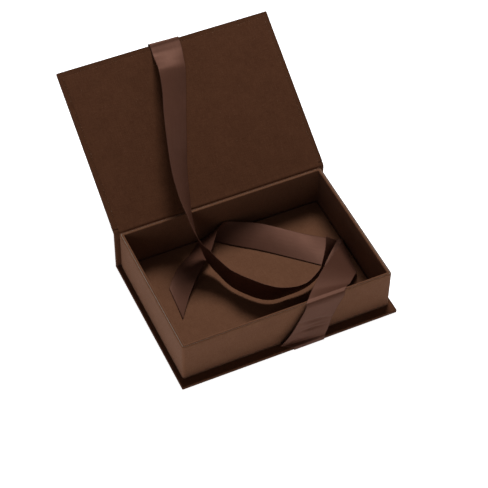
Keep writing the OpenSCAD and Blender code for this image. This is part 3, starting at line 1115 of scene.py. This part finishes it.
    def base_ribbon(self) -> Ribbon:
        """Ribbon from under the base over the front wall, folded in the tray."""
        h, low = self.half, self.under
        left = np.concatenate([
            self.edge([[-h, 3.9, low], [-h, 2, low], [-h, 0.15, low], [-h, 0.03, low],
                       [-h, -0.05, 0.35], [-h - 0.4, -0.085, 1.5]]),
            self.front([[-h - 1.2, -0.04, 0.013], [-21.5, 0.62, 0.022], [-20.7, 0.4, 0.13],
                        [-14, 0.42, 0.36], [-7.9, 0.53, 0.64], [-2.3, 0.7, 0.91],
                        [-1.3, 0.8, 0.965], [-0.9, 0.9, 0.995], [-0.7, 1.02, 1.0085]]),
            self.tray([
                [15.2, -1.3, 36.27], [16.6, 0.1, 36.22], [18, 1.6, 35.9], [20.8, 5, 34.8],
                [26, 11, 32.3], [41, 27, 26], [51, 37, 20], [65.5, 51.5, 11.2],
                [77.5, 63, 5.2], [82, 68.5, 2.9], [78.5, 71, 1.7], [70.5, 75, 3.4],
                [55.5, 83.5, 6], [40, 95.5, 8], [25.5, 105.5, 10], [11, 111.5, 12],
                [1, 113.8, 14], [-6, 110, 13.8], [-12.5, 102.5, 13], [-20, 93.4, 10.8],
                [-27.5, 87.4, 8.8], [-43, 73, 6], [-53.5, 61.5, 3], [-64, 47.5, 0.7]]),
        ])
        right = np.concatenate([
            self.edge([[h, 3.9, low], [h, 2, low], [h, 0.15, low], [h, 0.03, low],
                       [h, -0.05, 0.35], [h, -0.085, 1.5]]),
            self.front([[h + 0.3, -0.06, 0.02], [h + 1, 0.05, 0.06], [h + 3.4, 0.15, 0.2],
                        [h + 7.5, 0.4, 0.46], [h + 12.2, 0.55, 0.72], [h + 17.1, 0.7, 0.91],
                        [h + 18.3, 0.8, 0.965], [h + 18.8, 0.9, 0.995],
                        [h + 19, 1.02, 1.0085]]),
            self.tray([
                [47.8, -1.3, 36.27], [49.1, 0.1, 36.2], [50.5, 1.6, 34.8], [52.8, 4.4, 31.3],
                [58, 10.5, 23.5], [66, 20, 15], [71, 26, 10], [74.5, 30, 6.5],
                [76.3, 32.8, 4.2], [77, 34.5, 2.6], [75.5, 36.5, 1.1], [64.5, 45, 0.7],
                [55, 53.5, 0.7], [38, 69, 0.7], [19.5, 85.5, 0.9], [4, 97.5, 1],
                [-16.5, 113.5, 1], [-23, 112.6, 0.9], [-29, 107.5, 0.8], [-37, 102, 0.8],
                [-45.5, 96.5, 0.8], [-54.5, 88.5, 0.8], [-59, 83, 0.8], [-61.5, 79.5, 0.7]]),
        ])
        pleats = (
            Crease(at=9.43, skew=-0.83, height=1.2, width=0.13, middle=0.5, reach=0.4),
            Crease(at=8.68, skew=-0.5, height=1.1, width=0.12, middle=0.55, reach=0.3),
            Crease(at=9.06, skew=-0.66, height=0.7, width=0.1, middle=0.65, reach=0.25),
        )
        return Ribbon("base_ribbon_satin", self.sizes, left, right, calm_from=16.0,
                      steps=16, creases=pleats)

    def build(self) -> None:
        """Makes and dresses both ribbons, and hangs the base ribbon on the case."""
        lid, base = self.lid_ribbon(), self.base_ribbon()
        for ribbon, body, nodes, held, under in (
            (lid, None, ("lid_ribbon", "lid_ribbon_tail", "lid_ribbon_tab"), "hung", "lid_cover"),
            (base, Body.CASE, ("base_ribbon", "base_ribbon_tab"), "folded", "tray_outer_wrap"),
        ):
            piece = ribbon.sheet()
            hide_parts(*nodes)
            finish_piece(piece, Slot.SATIN, body)
            if body is None:
                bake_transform(piece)
            ribbon.length() * MM
            LOG.info("%s: %.0f mm long", ribbon.name, ribbon.length())


# --------------------------------------------------------------- materials

Socket = bpy.types.NodeSocket


class Graph:
    """A node tree with short ways to add nodes and links."""

    def __init__(self, tree: bpy.types.NodeTree) -> None:
        """Wraps a tree."""
        self.tree = tree

    def plug(self, node: bpy.types.Node, inputs: dict[object, object]) -> None:
        """Feeds a node's inputs, each with a link or a value."""
        for key, value in inputs.items():
            self.feed(node.inputs[key], value)

    def add(self, kind: str, inputs: Optional[dict[object, object]] = None,
            **settings: object) -> bpy.types.Node:
        """Adds a node.

        Args:
            kind: Blender's node type.
            inputs: Links or values of its inputs.
            **settings: Its properties, set before the inputs.

        Returns:
            The node.
        """
        node = self.tree.nodes.new(kind)
        for key, value in settings.items():
            setattr(node, key, value)
        self.plug(node, inputs or {})
        return node

    def feed(self, socket: Socket, value: object) -> None:
        """Links a socket to another, or sets its value.

        Args:
            socket: An input.
            value: An output to link it to, or a value.
        """
        if isinstance(value, bpy.types.NodeSocket):
            self.tree.links.new(value, socket)
        else:
            socket.default_value = value

    def math(self, kind: str, a: object, b: object = 0.0, clamp: bool = False) -> Socket:
        """A Math node's result."""
        return self.add("ShaderNodeMath", {0: a, 1: b}, operation=kind, use_clamp=clamp).outputs[0]

    def ramp(self, value: Socket, low: float, high: float, out_low: float = 0.0,
             out_high: float = 1.0) -> Socket:
        """A smooth map from low..high to out_low..out_high."""
        ends = {"From Min": low, "From Max": high, "To Min": out_low, "To Max": out_high}
        return self.add("ShaderNodeMapRange", {"Value": value, **ends},
                        interpolation_type="SMOOTHSTEP").outputs["Result"]

    def mix(self, share: object, a: object, b: object) -> Socket:
        """A colour between a and b."""
        return self.add("ShaderNodeMix", {"Factor": share, "A": a, "B": b},
                        data_type="RGBA").outputs["Result"]

    def stretch(self, vector: Socket, scale: Sequence[float],
                move: Sequence[float] = (0, 0, 0)) -> Socket:
        """A vector scaled and moved."""
        values = {"Vector": vector, "Scale": scale, "Location": move}
        return self.add("ShaderNodeMapping", values).outputs["Vector"]

    def noise(self, vector: Socket, scale: object, detail: float = 2.0, rough: float = 0.5) -> Socket:
        """A noise texture's value."""
        values = {"Vector": vector, "Scale": scale, "Detail": detail, "Roughness": rough}
        return self.add("ShaderNodeTexNoise", values).outputs["Fac"]

    def split(self, vector: Socket) -> tuple[Socket, Socket]:
        """First two parts of a vector."""
        parts = self.add("ShaderNodeSeparateXYZ", {0: vector}).outputs
        return parts[0], parts[1]


def new_group(name: str, inputs: dict[str, tuple[str, object]], outputs: Sequence[str]
              ) -> tuple[Graph, bpy.types.Node, bpy.types.Node]:
    """Starts a shader node group.

    Args:
        name: The group's name.
        inputs: Socket type and first value of each input.
        outputs: Names of the value outputs.

    Returns:
        Its graph, input node and output node.
    """
    tree = bpy.data.node_groups.new(name, "ShaderNodeTree")
    for key, (kind, value) in inputs.items():
        socket = tree.interface.new_socket(name=key, in_out="INPUT", socket_type=kind)
        if value is not None:
            socket.default_value = value
    for key in outputs:
        tree.interface.new_socket(name=key, in_out="OUTPUT", socket_type="NodeSocketFloat")
    graph = Graph(tree)
    return graph, graph.add("NodeGroupInput"), graph.add("NodeGroupOutput")


def weave_group() -> bpy.types.NodeTree:
    """Plain-woven book cloth: thread height, thread tone and stray light flecks."""
    g, i, o = new_group(
        "plain_weave",
        {"Place": ("NodeSocketVector", None), "Pitch": ("NodeSocketFloat", 0.4),
         "Slub": ("NodeSocketFloat", 0.5), "Flecks": ("NodeSocketFloat", 0.2)},
        ("Height", "Tone", "Fleck"),
    )
    place = i.outputs["Place"]
    mm = g.stretch(place, (1000, 1000, 1000))
    sway = g.noise(mm, 0.35, 2)
    x, y = g.split(mm)
    x = g.math("ADD", x, g.math("MULTIPLY", sway, 0.5))
    y = g.math("ADD", y, g.math("MULTIPLY", sway, -0.5))
    turn = g.math("DIVIDE", math.pi, i.outputs["Pitch"])
    sx = g.math("SINE", g.math("MULTIPLY", x, turn))
    sy = g.math("SINE", g.math("MULTIPLY", y, turn))
    over = g.math("MULTIPLY", g.math("MULTIPLY", sx, sy), 2.5)
    over = g.math("ADD", g.math("MINIMUM", g.math("MAXIMUM", over, -0.5), 0.5), 0.5)
    warp = g.math("MULTIPLY", g.math("ABSOLUTE", sx), over)
    weft = g.math("MULTIPLY", g.math("ABSOLUTE", sy), g.math("SUBTRACT", 1.0, over))
    threads = g.math("MAXIMUM", warp, weft)
    long_x = g.noise(g.stretch(mm, (1.9, 0.16, 1)), 1.0, 2, 0.55)
    long_y = g.noise(g.stretch(mm, (0.16, 1.9, 1), (31, 17, 0)), 1.0, 2, 0.55)
    slub = g.math("MULTIPLY", g.math("ADD", long_x, long_y), 0.5)
    patch = g.noise(g.stretch(mm, (1, 1, 1), (7, 3, 0)), 0.06, 3, 0.6)
    grain = g.noise(mm, 1.4, 2, 0.7)
    tone = g.math("ADD", g.math("MULTIPLY", g.ramp(slub, 0.32, 0.68), i.outputs["Slub"]),
                  g.math("MULTIPLY", g.ramp(patch, 0.3, 0.7), 0.16))
    tone = g.math("ADD", tone, g.math("MULTIPLY", g.ramp(grain, 0.3, 0.7), 0.3))
    g.feed(o.inputs["Tone"], g.math("MULTIPLY", tone, 1.0, clamp=True))
    height = g.math("ADD", threads, g.math("MULTIPLY", slub, 1.4))
    g.feed(o.inputs["Height"], height)
    spot = g.noise(g.stretch(mm, (1, 1, 1), (91, 57, 0)), 0.85, 1, 0.5)
    patchy = g.noise(g.stretch(mm, (1, 1, 1), (13, 71, 0)), 0.09, 1, 0.5)
    spots = g.math("MULTIPLY", g.ramp(spot, 0.7, 0.76), g.ramp(patchy, 0.45, 0.62))
    g.feed(o.inputs["Fleck"], g.math("MULTIPLY", spots, i.outputs["Flecks"], clamp=True))
    return g.tree


def satin_group() -> bpy.types.NodeTree:
    """Satin ribbon: fine lengthwise floats, their tone and the woven edge."""
    g, i, o = new_group(
        "satin_floats",
        {"Place": ("NodeSocketVector", None), "Width": ("NodeSocketFloat", 25.0)},
        ("Height", "Tone", "Edge"),
    )
    mm = g.stretch(i.outputs["Place"], (1000, 1000, 1000))
    x, _ = g.split(mm)
    across = g.math("MODULO", x, BACK_SIDE)
    streak = g.noise(g.stretch(mm, (3.2, 0.04, 1)), 1.0, 3, 0.6)
    picks = g.noise(g.stretch(mm, (0.25, 2.6, 1), (5, 9, 0)), 1.0, 2, 0.5)
    cloud = g.noise(g.stretch(mm, (1, 1, 1), (3, 8, 0)), 0.07, 2, 0.5)
    centred = g.math("ABSOLUTE", g.math("SUBTRACT", across, g.math("MULTIPLY", i.outputs["Width"], 0.5)))
    near = g.math("SUBTRACT", g.math("MULTIPLY", i.outputs["Width"], 0.5), centred)
    edge = g.ramp(near, 0.55, 0.95, 1.0, 0.0)
    floats = g.math("SINE", g.math("MULTIPLY", across, 2 * math.pi / 0.22))
    height = g.math("ADD", g.math("MULTIPLY", streak, 1.2), g.math("MULTIPLY", picks, 0.5))
    height = g.math("ADD", height, g.math("MULTIPLY", floats, 0.12))
    g.feed(o.inputs["Height"], g.math("ADD", height, g.math("MULTIPLY", edge, 0.8)))
    tone = g.math("ADD", g.math("MULTIPLY", streak, 0.5), g.math("MULTIPLY", cloud, 0.35))
    g.feed(o.inputs["Tone"], g.math("ADD", tone, g.math("MULTIPLY", picks, 0.2), clamp=True))
    g.feed(o.inputs["Edge"], edge)
    return g.tree


def fibre_group() -> bpy.types.NodeTree:
    """Felted board or paper: short fibres and cloudy tone."""
    g, i, o = new_group(
        "pressed_fibres",
        {"Place": ("NodeSocketVector", None), "Grain": ("NodeSocketFloat", 1.0)},
        ("Height", "Tone"),
    )
    mm = g.stretch(i.outputs["Place"], (1000, 1000, 1000))
    fibres = g.noise(g.stretch(mm, (2.2, 0.7, 1.4)), i.outputs["Grain"], 4, 0.65)
    cloud = g.noise(mm, 0.12, 3, 0.6)
    g.feed(o.inputs["Height"], fibres)
    tone = g.math("ADD", g.math("MULTIPLY", fibres, 0.6), g.math("MULTIPLY", cloud, 0.5))
    g.feed(o.inputs["Tone"], g.math("MULTIPLY", tone, 1.0, clamp=True))
    return g.tree


class Groups:
    """The shader groups, each built once."""

    made: dict[str, bpy.types.NodeTree] = {}
    makers: dict[str, Callable[[], bpy.types.NodeTree]] = {
        "weave": weave_group, "satin": satin_group, "fibre": fibre_group}

    @classmethod
    def place(cls, graph: Graph, key: str, **values: object) -> bpy.types.Node:
        """Puts a group into a material.

        Args:
            graph: The material's graph.
            key: Which group.
            **values: Values or links of its inputs.

        Returns:
            The group node.
        """
        if key not in cls.made:
            cls.made[key] = cls.makers[key]()
        node = graph.add("ShaderNodeGroup")
        node.node_tree = cls.made[key]
        for name, value in values.items():
            graph.feed(node.inputs[name.capitalize()], value)
        return node


def start_material(name: str) -> tuple[bpy.types.Material, Graph, bpy.types.Node]:
    """Starts a material.

    Args:
        name: Its name.

    Returns:
        The material, its graph and its Principled shader.
    """
    mat = bpy.data.materials.new(name)
    mat.use_nodes = True
    return mat, Graph(mat.node_tree), mat.node_tree.nodes["Principled BSDF"]


def bump(graph: Graph, shader: bpy.types.Node, height: Socket, strength: float, depth: float) -> None:
    """Feeds a height to the shader's normal."""
    values = {"Strength": strength, "Distance": depth, "Height": height}
    graph.feed(shader.inputs["Normal"], graph.add("ShaderNodeBump", values).outputs["Normal"])


Colour = tuple[float, float, float, float]


@dataclass(frozen=True)
class BookCloth:
    """Woven book cloth.

    Attributes:
        name: Material name.
        deep: Colour between and in the darker threads.
        light: Colour of the lighter threads.
        fleck: Colour of stray light fibres.
        pitch: Distance between threads, millimetres.
        slub: How much the threads vary.
        flecks: How strongly stray fibres show.
        roughness: Mean roughness.
    """

    name: str
    deep: Colour
    light: Colour
    fleck: Colour
    pitch: float = 0.42
    slub: float = 0.5
    flecks: float = 0.3
    roughness: float = 0.82

    def make(self) -> bpy.types.Material:
        """Makes the material."""
        mat, g, shader = start_material(self.name)
        uv = g.add("ShaderNodeUVMap", uv_map="weave").outputs["UV"]
        weave = Groups.place(g, "weave", place=uv, pitch=self.pitch, slub=self.slub,
                             flecks=self.flecks)
        tone = weave.outputs["Tone"]
        colour = g.mix(tone, self.deep, self.light)
        g.plug(shader, {
            "Base Color": g.mix(weave.outputs["Fleck"], colour, self.fleck),
            "Roughness": g.ramp(tone, 0.0, 1.0, self.roughness + 0.06, self.roughness - 0.06),
            "Specular IOR Level": 0.1, "Sheen Weight": 0.03, "Sheen Roughness": 0.5})
        bump(g, shader, weave.outputs["Height"], 0.45, 0.00012)
        return mat


@dataclass(frozen=True)
class Satin:
    """Woven satin ribbon, glossy across its lengthwise floats."""

    name: str
    deep: Colour
    light: Colour
    edge: Colour
    width: float = 25.0
    roughness: float = 0.56

    def make(self) -> bpy.types.Material:
        """Makes the material."""
        mat, g, shader = start_material(self.name)
        uv = g.add("ShaderNodeUVMap", uv_map="weave").outputs["UV"]
        satin = Groups.place(g, "satin", place=uv, width=self.width)
        tone, edge = satin.outputs["Tone"], satin.outputs["Edge"]
        rough = g.ramp(tone, 0.2, 0.8, self.roughness + 0.05, self.roughness - 0.05)
        g.plug(shader, {
            "Base Color": g.mix(edge, g.mix(tone, self.deep, self.light), self.edge),
            "Roughness": g.math("ADD", rough, g.math("MULTIPLY", edge, 0.2)),
            "Metallic": 0.3, "Specular IOR Level": 0.2, "Anisotropic": 0.4,
            "Specular Tint": (1.0, 0.82, 0.72, 1)})
        bump(g, shader, satin.outputs["Height"], 0.3, 0.00008)
        return mat


@dataclass(frozen=True)
class Pulp:
    """Board, card, paper or raw thread, all of short fibres."""

    name: str
    deep: Colour
    light: Colour
    grain: float = 1.0
    relief: float = 0.4
    depth: float = 0.0001

    def make(self) -> bpy.types.Material:
        """Makes the material."""
        mat, g, shader = start_material(self.name)
        place = g.add("ShaderNodeTexCoord").outputs["Object"]
        fibre = Groups.place(g, "fibre", place=place, grain=self.grain)
        tone = fibre.outputs["Tone"]
        g.plug(shader, {"Base Color": g.mix(tone, self.deep, self.light),
                        "Roughness": g.ramp(tone, 0.0, 1.0, 0.95, 0.85)})
        bump(g, shader, fibre.outputs["Height"], self.relief, self.depth)
        return mat

FINISHES = {
    Slot.BOARD: Pulp("grey_board", (0.26, 0.23, 0.19, 1), (0.44, 0.4, 0.34, 1)),
    Slot.CASE_CLOTH: BookCloth(
        "case_book_cloth", (0.057, 0.0192, 0.0074, 1), (0.111, 0.0415, 0.0178, 1),
        (0.2, 0.11, 0.07, 1)),
    Slot.LID_LINING: BookCloth(
        "lid_lining_cloth", (0.0655, 0.0222, 0.0092, 1), (0.117, 0.0442, 0.0195, 1),
        (0.2, 0.11, 0.07, 1)),
    Slot.TRAY_CLOTH: BookCloth(
        "tray_book_cloth", (0.127, 0.053, 0.0265, 1), (0.2, 0.089, 0.047, 1),
        (0.34, 0.2, 0.14, 1), slub=0.45, flecks=0.1),
    Slot.PAPER: Pulp("liner_paper", (0.4, 0.33, 0.25, 1), (0.55, 0.47, 0.38, 1)),
    Slot.CARD: Pulp("floor_card", (0.48, 0.43, 0.36, 1), (0.64, 0.58, 0.5, 1)),
    Slot.SATIN: Satin("brown_satin", (0.084, 0.034, 0.021, 1), (0.15, 0.064, 0.042, 1),
                      (0.07, 0.028, 0.018, 1)),
}
RAW_THREADS = Pulp("raw_threads", (0.17, 0.095, 0.06, 1), (0.4, 0.28, 0.2, 1), grain=2.0,
                   relief=0.3, depth=0.00003)
MADE: dict[Slot, bpy.types.Material] = {}


def material(slot: Slot) -> bpy.types.Material:
    """The slot's material, made when it is first asked for."""
    if slot not in MADE:
        MADE[slot] = FINISHES[slot].make()
    return MADE[slot]


def finish_piece(piece: bpy.types.Object, slot: Slot, body: Optional[Body]) -> None:
    """Dresses a piece, unless it is dressed, and hangs it on its body.

    Args:
        piece: The piece.
        slot: Its material slot.
        body: The body that it rides on, or None for a piece that spans two and is left unattached.
    """
    if not piece.data.materials:
        piece.data.materials.append(material(slot))
    if body is not None:
        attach(piece, body.value)
    LOG.info("%s: %d faces", piece.name, len(piece.data.polygons))


def dress_nodes() -> None:
    """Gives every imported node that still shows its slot's finish."""
    slots = {row["node"]: row["material_slot"] for row in frame["record"]["subparts"]}
    for name, node in frame["nodes"].items():
        made = material(Slot(slots[name]))
        if not node.material_slots:
            node.data.materials.append(made)
        for place in node.material_slots:
            place.material = made


# ----------------------------------------------------------------- threads


@dataclass
class CutThreads:
    """Frayed threads along the lid lining's cut edge, laid by Geometry Nodes.

    Attributes:
        sizes: The box's sizes.
        count: Number of threads.
        length: Length of the longest.
        radius: Radius of the thickest.
        scatter: How far they stray from the edge.
        seed: Chooses their places, turns and sizes.
    """

    sizes: BoxSizes
    count: int = 170
    length: float = 1.3
    radius: float = 0.06
    scatter: float = 0.4
    seed: int = 11

    def path(self) -> bpy.types.Object:
        """The cut edge as a line of vertices, x, u and height, in metres."""
        s = self.sizes
        x, front, back = s.half_w - s.lining_inset, s.lid_d - s.lining_inset, 2.0
        top = s.base_t + 0.06
        line = np.array([(-x, back, top), (-x, front, top), (x, front, top), (x, back, top)]) * MM
        mesh = bpy.data.meshes.new("cut_edge_threads")
        mesh.from_pydata(line.tolist(), [(0, 1), (1, 2), (2, 3)], [])
        return add_object("cut_edge_threads", mesh)

    def tree(self) -> bpy.types.NodeTree:
        """Node tree that turns the line into short bent threads."""
        tree = bpy.data.node_groups.new("frayed_threads", "GeometryNodeTree")
        for name, kind in (("Line", "Geometry"), ("Count", "Int"), ("Length", "Float"),
                           ("Radius", "Float"), ("Scatter", "Float"), ("Seed", "Int"),
                           ("Finish", "Material")):
            tree.interface.new_socket(name=name, in_out="INPUT", socket_type=f"NodeSocket{kind}")
        tree.interface.new_socket(name="Threads", in_out="OUTPUT", socket_type="NodeSocketGeometry")
        g = Graph(tree)
        group, result = g.add("NodeGroupInput"), g.add("NodeGroupOutput")
        given = group.outputs
        curve = g.add("GeometryNodeMeshToCurve", {"Mesh": given["Line"]})
        spaced = g.add("GeometryNodeResampleCurve",
                       {"Curve": curve.outputs["Curve"], "Count": given["Count"]})
        place = self.scaled(g, self.random(g, given["Seed"], (-1, -1, 0), (1, 1, 0.1), 1),
                            given["Scatter"])
        moved = g.add("GeometryNodeSetPosition",
                      {"Geometry": spaced.outputs["Curve"], "Offset": place})
        bent = g.add("GeometryNodeCurveQuadraticBezier", {"Resolution": 4})
        for key, share in (("Start", (-0.5, 0, 0)), ("Middle", (0, 0.35, 0.12)),
                           ("End", (0.5, 0.1, 0.04))):
            g.feed(bent.inputs[key], self.scaled(g, share, given["Length"]))
        ring = g.add("GeometryNodeCurvePrimitiveCircle",
                     {"Resolution": 5, "Radius": given["Radius"]})
        tube = g.add("GeometryNodeCurveToMesh", {
            "Curve": bent.outputs["Curve"], "Profile Curve": ring.outputs["Curve"],
            "Fill Caps": True})
        turn = self.random(g, given["Seed"], (0, 0, -math.pi), (0, 0, math.pi), 2)
        size = self.random(g, given["Seed"], (0.05, 0.1, 0.1), (1, 1, 1), 3)
        copies = g.add("GeometryNodeInstanceOnPoints", {
            "Points": moved.outputs["Geometry"], "Instance": tube.outputs["Mesh"],
            "Rotation": turn, "Scale": size})
        real = g.add("GeometryNodeRealizeInstances", {"Geometry": copies.outputs["Instances"]})
        made = g.add("GeometryNodeSetMaterial",
                     {"Geometry": real.outputs["Geometry"], "Material": given["Finish"]})
        g.feed(result.inputs["Threads"], made.outputs["Geometry"])
        return tree

    def scaled(self, g: Graph, vector: object, by: Socket) -> Socket:
        """A vector times a number."""
        return g.add("ShaderNodeVectorMath", {0: vector, "Scale": by}, operation="SCALE").outputs[0]

    def random(self, g: Graph, seed: Socket, low: Sequence[float], high: Sequence[float],
               step: int) -> Socket:
        """A random vector for each point.

        Args:
            g: The tree's graph.
            seed: The group's seed.
            low: Least values.
            high: Greatest values.
            step: Added to the seed, so that each use draws its own numbers.

        Returns:
            The vector.
        """
        values = {"Min": low, "Max": high, "Seed": g.math("ADD", seed, step)}
        return g.add("FunctionNodeRandomValue", values, data_type="FLOAT_VECTOR").outputs["Value"]

    def bake(self) -> bpy.types.Object:
        """Runs the nodes once and keeps a plain mesh on the lid."""
        obj = self.path()
        tree = self.tree()
        mod = obj.modifiers.new("threads", "NODES")
        mod.node_group = tree
        values = {"Count": self.count, "Length": self.length * MM, "Radius": self.radius * MM,
                  "Scatter": self.scatter * MM, "Seed": self.seed, "Finish": RAW_THREADS.make()}
        for item in tree.interface.items_tree:
            if item.in_out == "INPUT" and item.name in values:
                mod[item.identifier] = values[item.name]
        graph = bpy.context.evaluated_depsgraph_get()
        mesh = bpy.data.meshes.new_from_object(obj.evaluated_get(graph))
        obj.modifiers.remove(mod)
        obj.data = mesh
        points = np.empty(len(mesh.vertices) * 3)
        mesh.vertices.foreach_get("co", points)
        placed = self.sizes.on_lid(points.reshape(-1, 3) / MM) * MM
        mesh.vertices.foreach_set("co", placed.ravel())
        mesh.update()
        return obj


# ------------------------------------------------------------------- stage


@dataclass(frozen=True)
class Lamp:
    """An area light.

    Attributes:
        name: Its name.
        place: Where it hangs, metres.
        target: What it points at, metres.
        size: Length of its side, metres.
        power: Watts.
        height: Its upright side, metres, or 0 for a square.
    """

    name: str
    place: tuple[float, float, float]
    target: tuple[float, float, float]
    size: float
    power: float
    height: float = 0.0

    def hang(self) -> None:
        """Puts the lamp into the scene."""
        data = bpy.data.lights.new(self.name, "AREA")
        data.size, data.energy = self.size, self.power
        if self.height > 0:
            data.shape, data.size_y = "RECTANGLE", self.height
        lamp = add_object(self.name, data)
        lamp.location = self.place
        way = Vector(self.target) - Vector(self.place)
        lamp.rotation_euler = way.to_track_quat("-Z", "Y").to_euler()


@dataclass
class Studio:
    """Camera, lights and floor, in metres.

    Attributes:
        lens: Focal length, millimetres.
        sensor: Sensor width, millimetres.
        eye: The camera's place.
        forward: The way that it looks.
        right: The way to the picture's right.
        floor_half: Half the floor's side.
        floor_z: Height of the floor, a little under the box.
        glow: Light that the floor gives off.
        glow_seen: What the camera sees more of it.
        sky: Strength of the even light from all round.
        lamps: The area lights.
    """

    lens: float = 125.41
    sensor: float = 36.0
    eye: tuple[float, float, float] = (-0.37129, -0.75265, 1.01631)
    forward: tuple[float, float, float] = (0.28431, 0.59214, -0.75401)
    right: tuple[float, float, float] = (0.90732, -0.42026, 0.01208)
    floor_half: float = 6.0
    floor_z: float = -0.0002
    glow: float = 0.55
    glow_seen: float = 0.4
    sky: float = 0.12
    lamps: tuple[Lamp, ...] = (
        Lamp("key", (0.375, 0.65, 1.3), (0, 0.03, 0.02), 0.5, 16),
        Lamp("front_fill", (-0.5, -1.3, 0.22), (0, 0, 0.05), 0.35, 2.0),
        Lamp("left_fill", (-1.2, 0.0, 0.02), (0, 0, 0.02), 0.3, 2.0, 0.036),
    )

    def camera(self) -> None:
        """Sets the camera where the photograph was taken from."""
        data = bpy.data.cameras.new("camera")
        data.lens, data.sensor_width, data.sensor_fit = self.lens, self.sensor, "AUTO"
        data.clip_start, data.clip_end = 0.05, 20
        cam = add_object("camera", data)
        f = Vector(self.forward).normalized()
        r = Vector(self.right)
        r = (r - f * r.dot(f)).normalized()
        u = r.cross(f)
        cam.matrix_world = Matrix((
            (r.x, u.x, -f.x, self.eye[0]), (r.y, u.y, -f.y, self.eye[1]),
            (r.z, u.z, -f.z, self.eye[2]), (0, 0, 0, 1)))
        bpy.context.scene.camera = cam

    def floor(self) -> None:
        """A plain pale floor, clear when it is seen from below."""
        mesh = bpy.data.meshes.new("studio_floor")
        a, z = self.floor_half, self.floor_z
        mesh.from_pydata([(-a, -a, z), (a, -a, z), (a, a, z), (-a, a, z)], [], [(0, 1, 2, 3)])
        mat, g, shader = start_material("pale_floor")
        seen = g.add("ShaderNodeLightPath").outputs["Is Camera Ray"]
        below = g.add("ShaderNodeNewGeometry").outputs["Backfacing"]
        g.plug(shader, {
            "Base Color": (0.86, 0.86, 0.86, 1), "Roughness": 0.95,
            "Emission Color": (1, 1, 1, 1),
            "Emission Strength": g.math("ADD", g.math("MULTIPLY", seen, self.glow_seen), self.glow),
            "Alpha": g.math("SUBTRACT", 1.0, below)})
        mesh.materials.append(mat)
        add_object("studio_floor", mesh)

    def build(self) -> None:
        """Sets up the whole studio."""
        self.camera()
        self.floor()
        world = bpy.data.worlds.new("studio")
        bpy.context.scene.world = world
        world.use_nodes = True
        sky = world.node_tree.nodes["Background"]
        Graph(world.node_tree).plug(sky, {"Color": (1, 1, 1, 1), "Strength": self.sky})
        for lamp in self.lamps:
            lamp.hang()
        bpy.context.scene.view_settings.view_transform = "Standard"


def main() -> None:
    """Builds the box, its ribbons and the studio."""
    logging.basicConfig(level=logging.INFO, format="%(name)s: %(message)s")
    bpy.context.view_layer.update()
    sizes = BoxSizes()
    Studio().build()
    Case(sizes).build()
    Tray(sizes).build()
    Lid(sizes).build()
    Ribbons(sizes).build()
    dress_nodes()


if __name__ == "__main__":
    main()
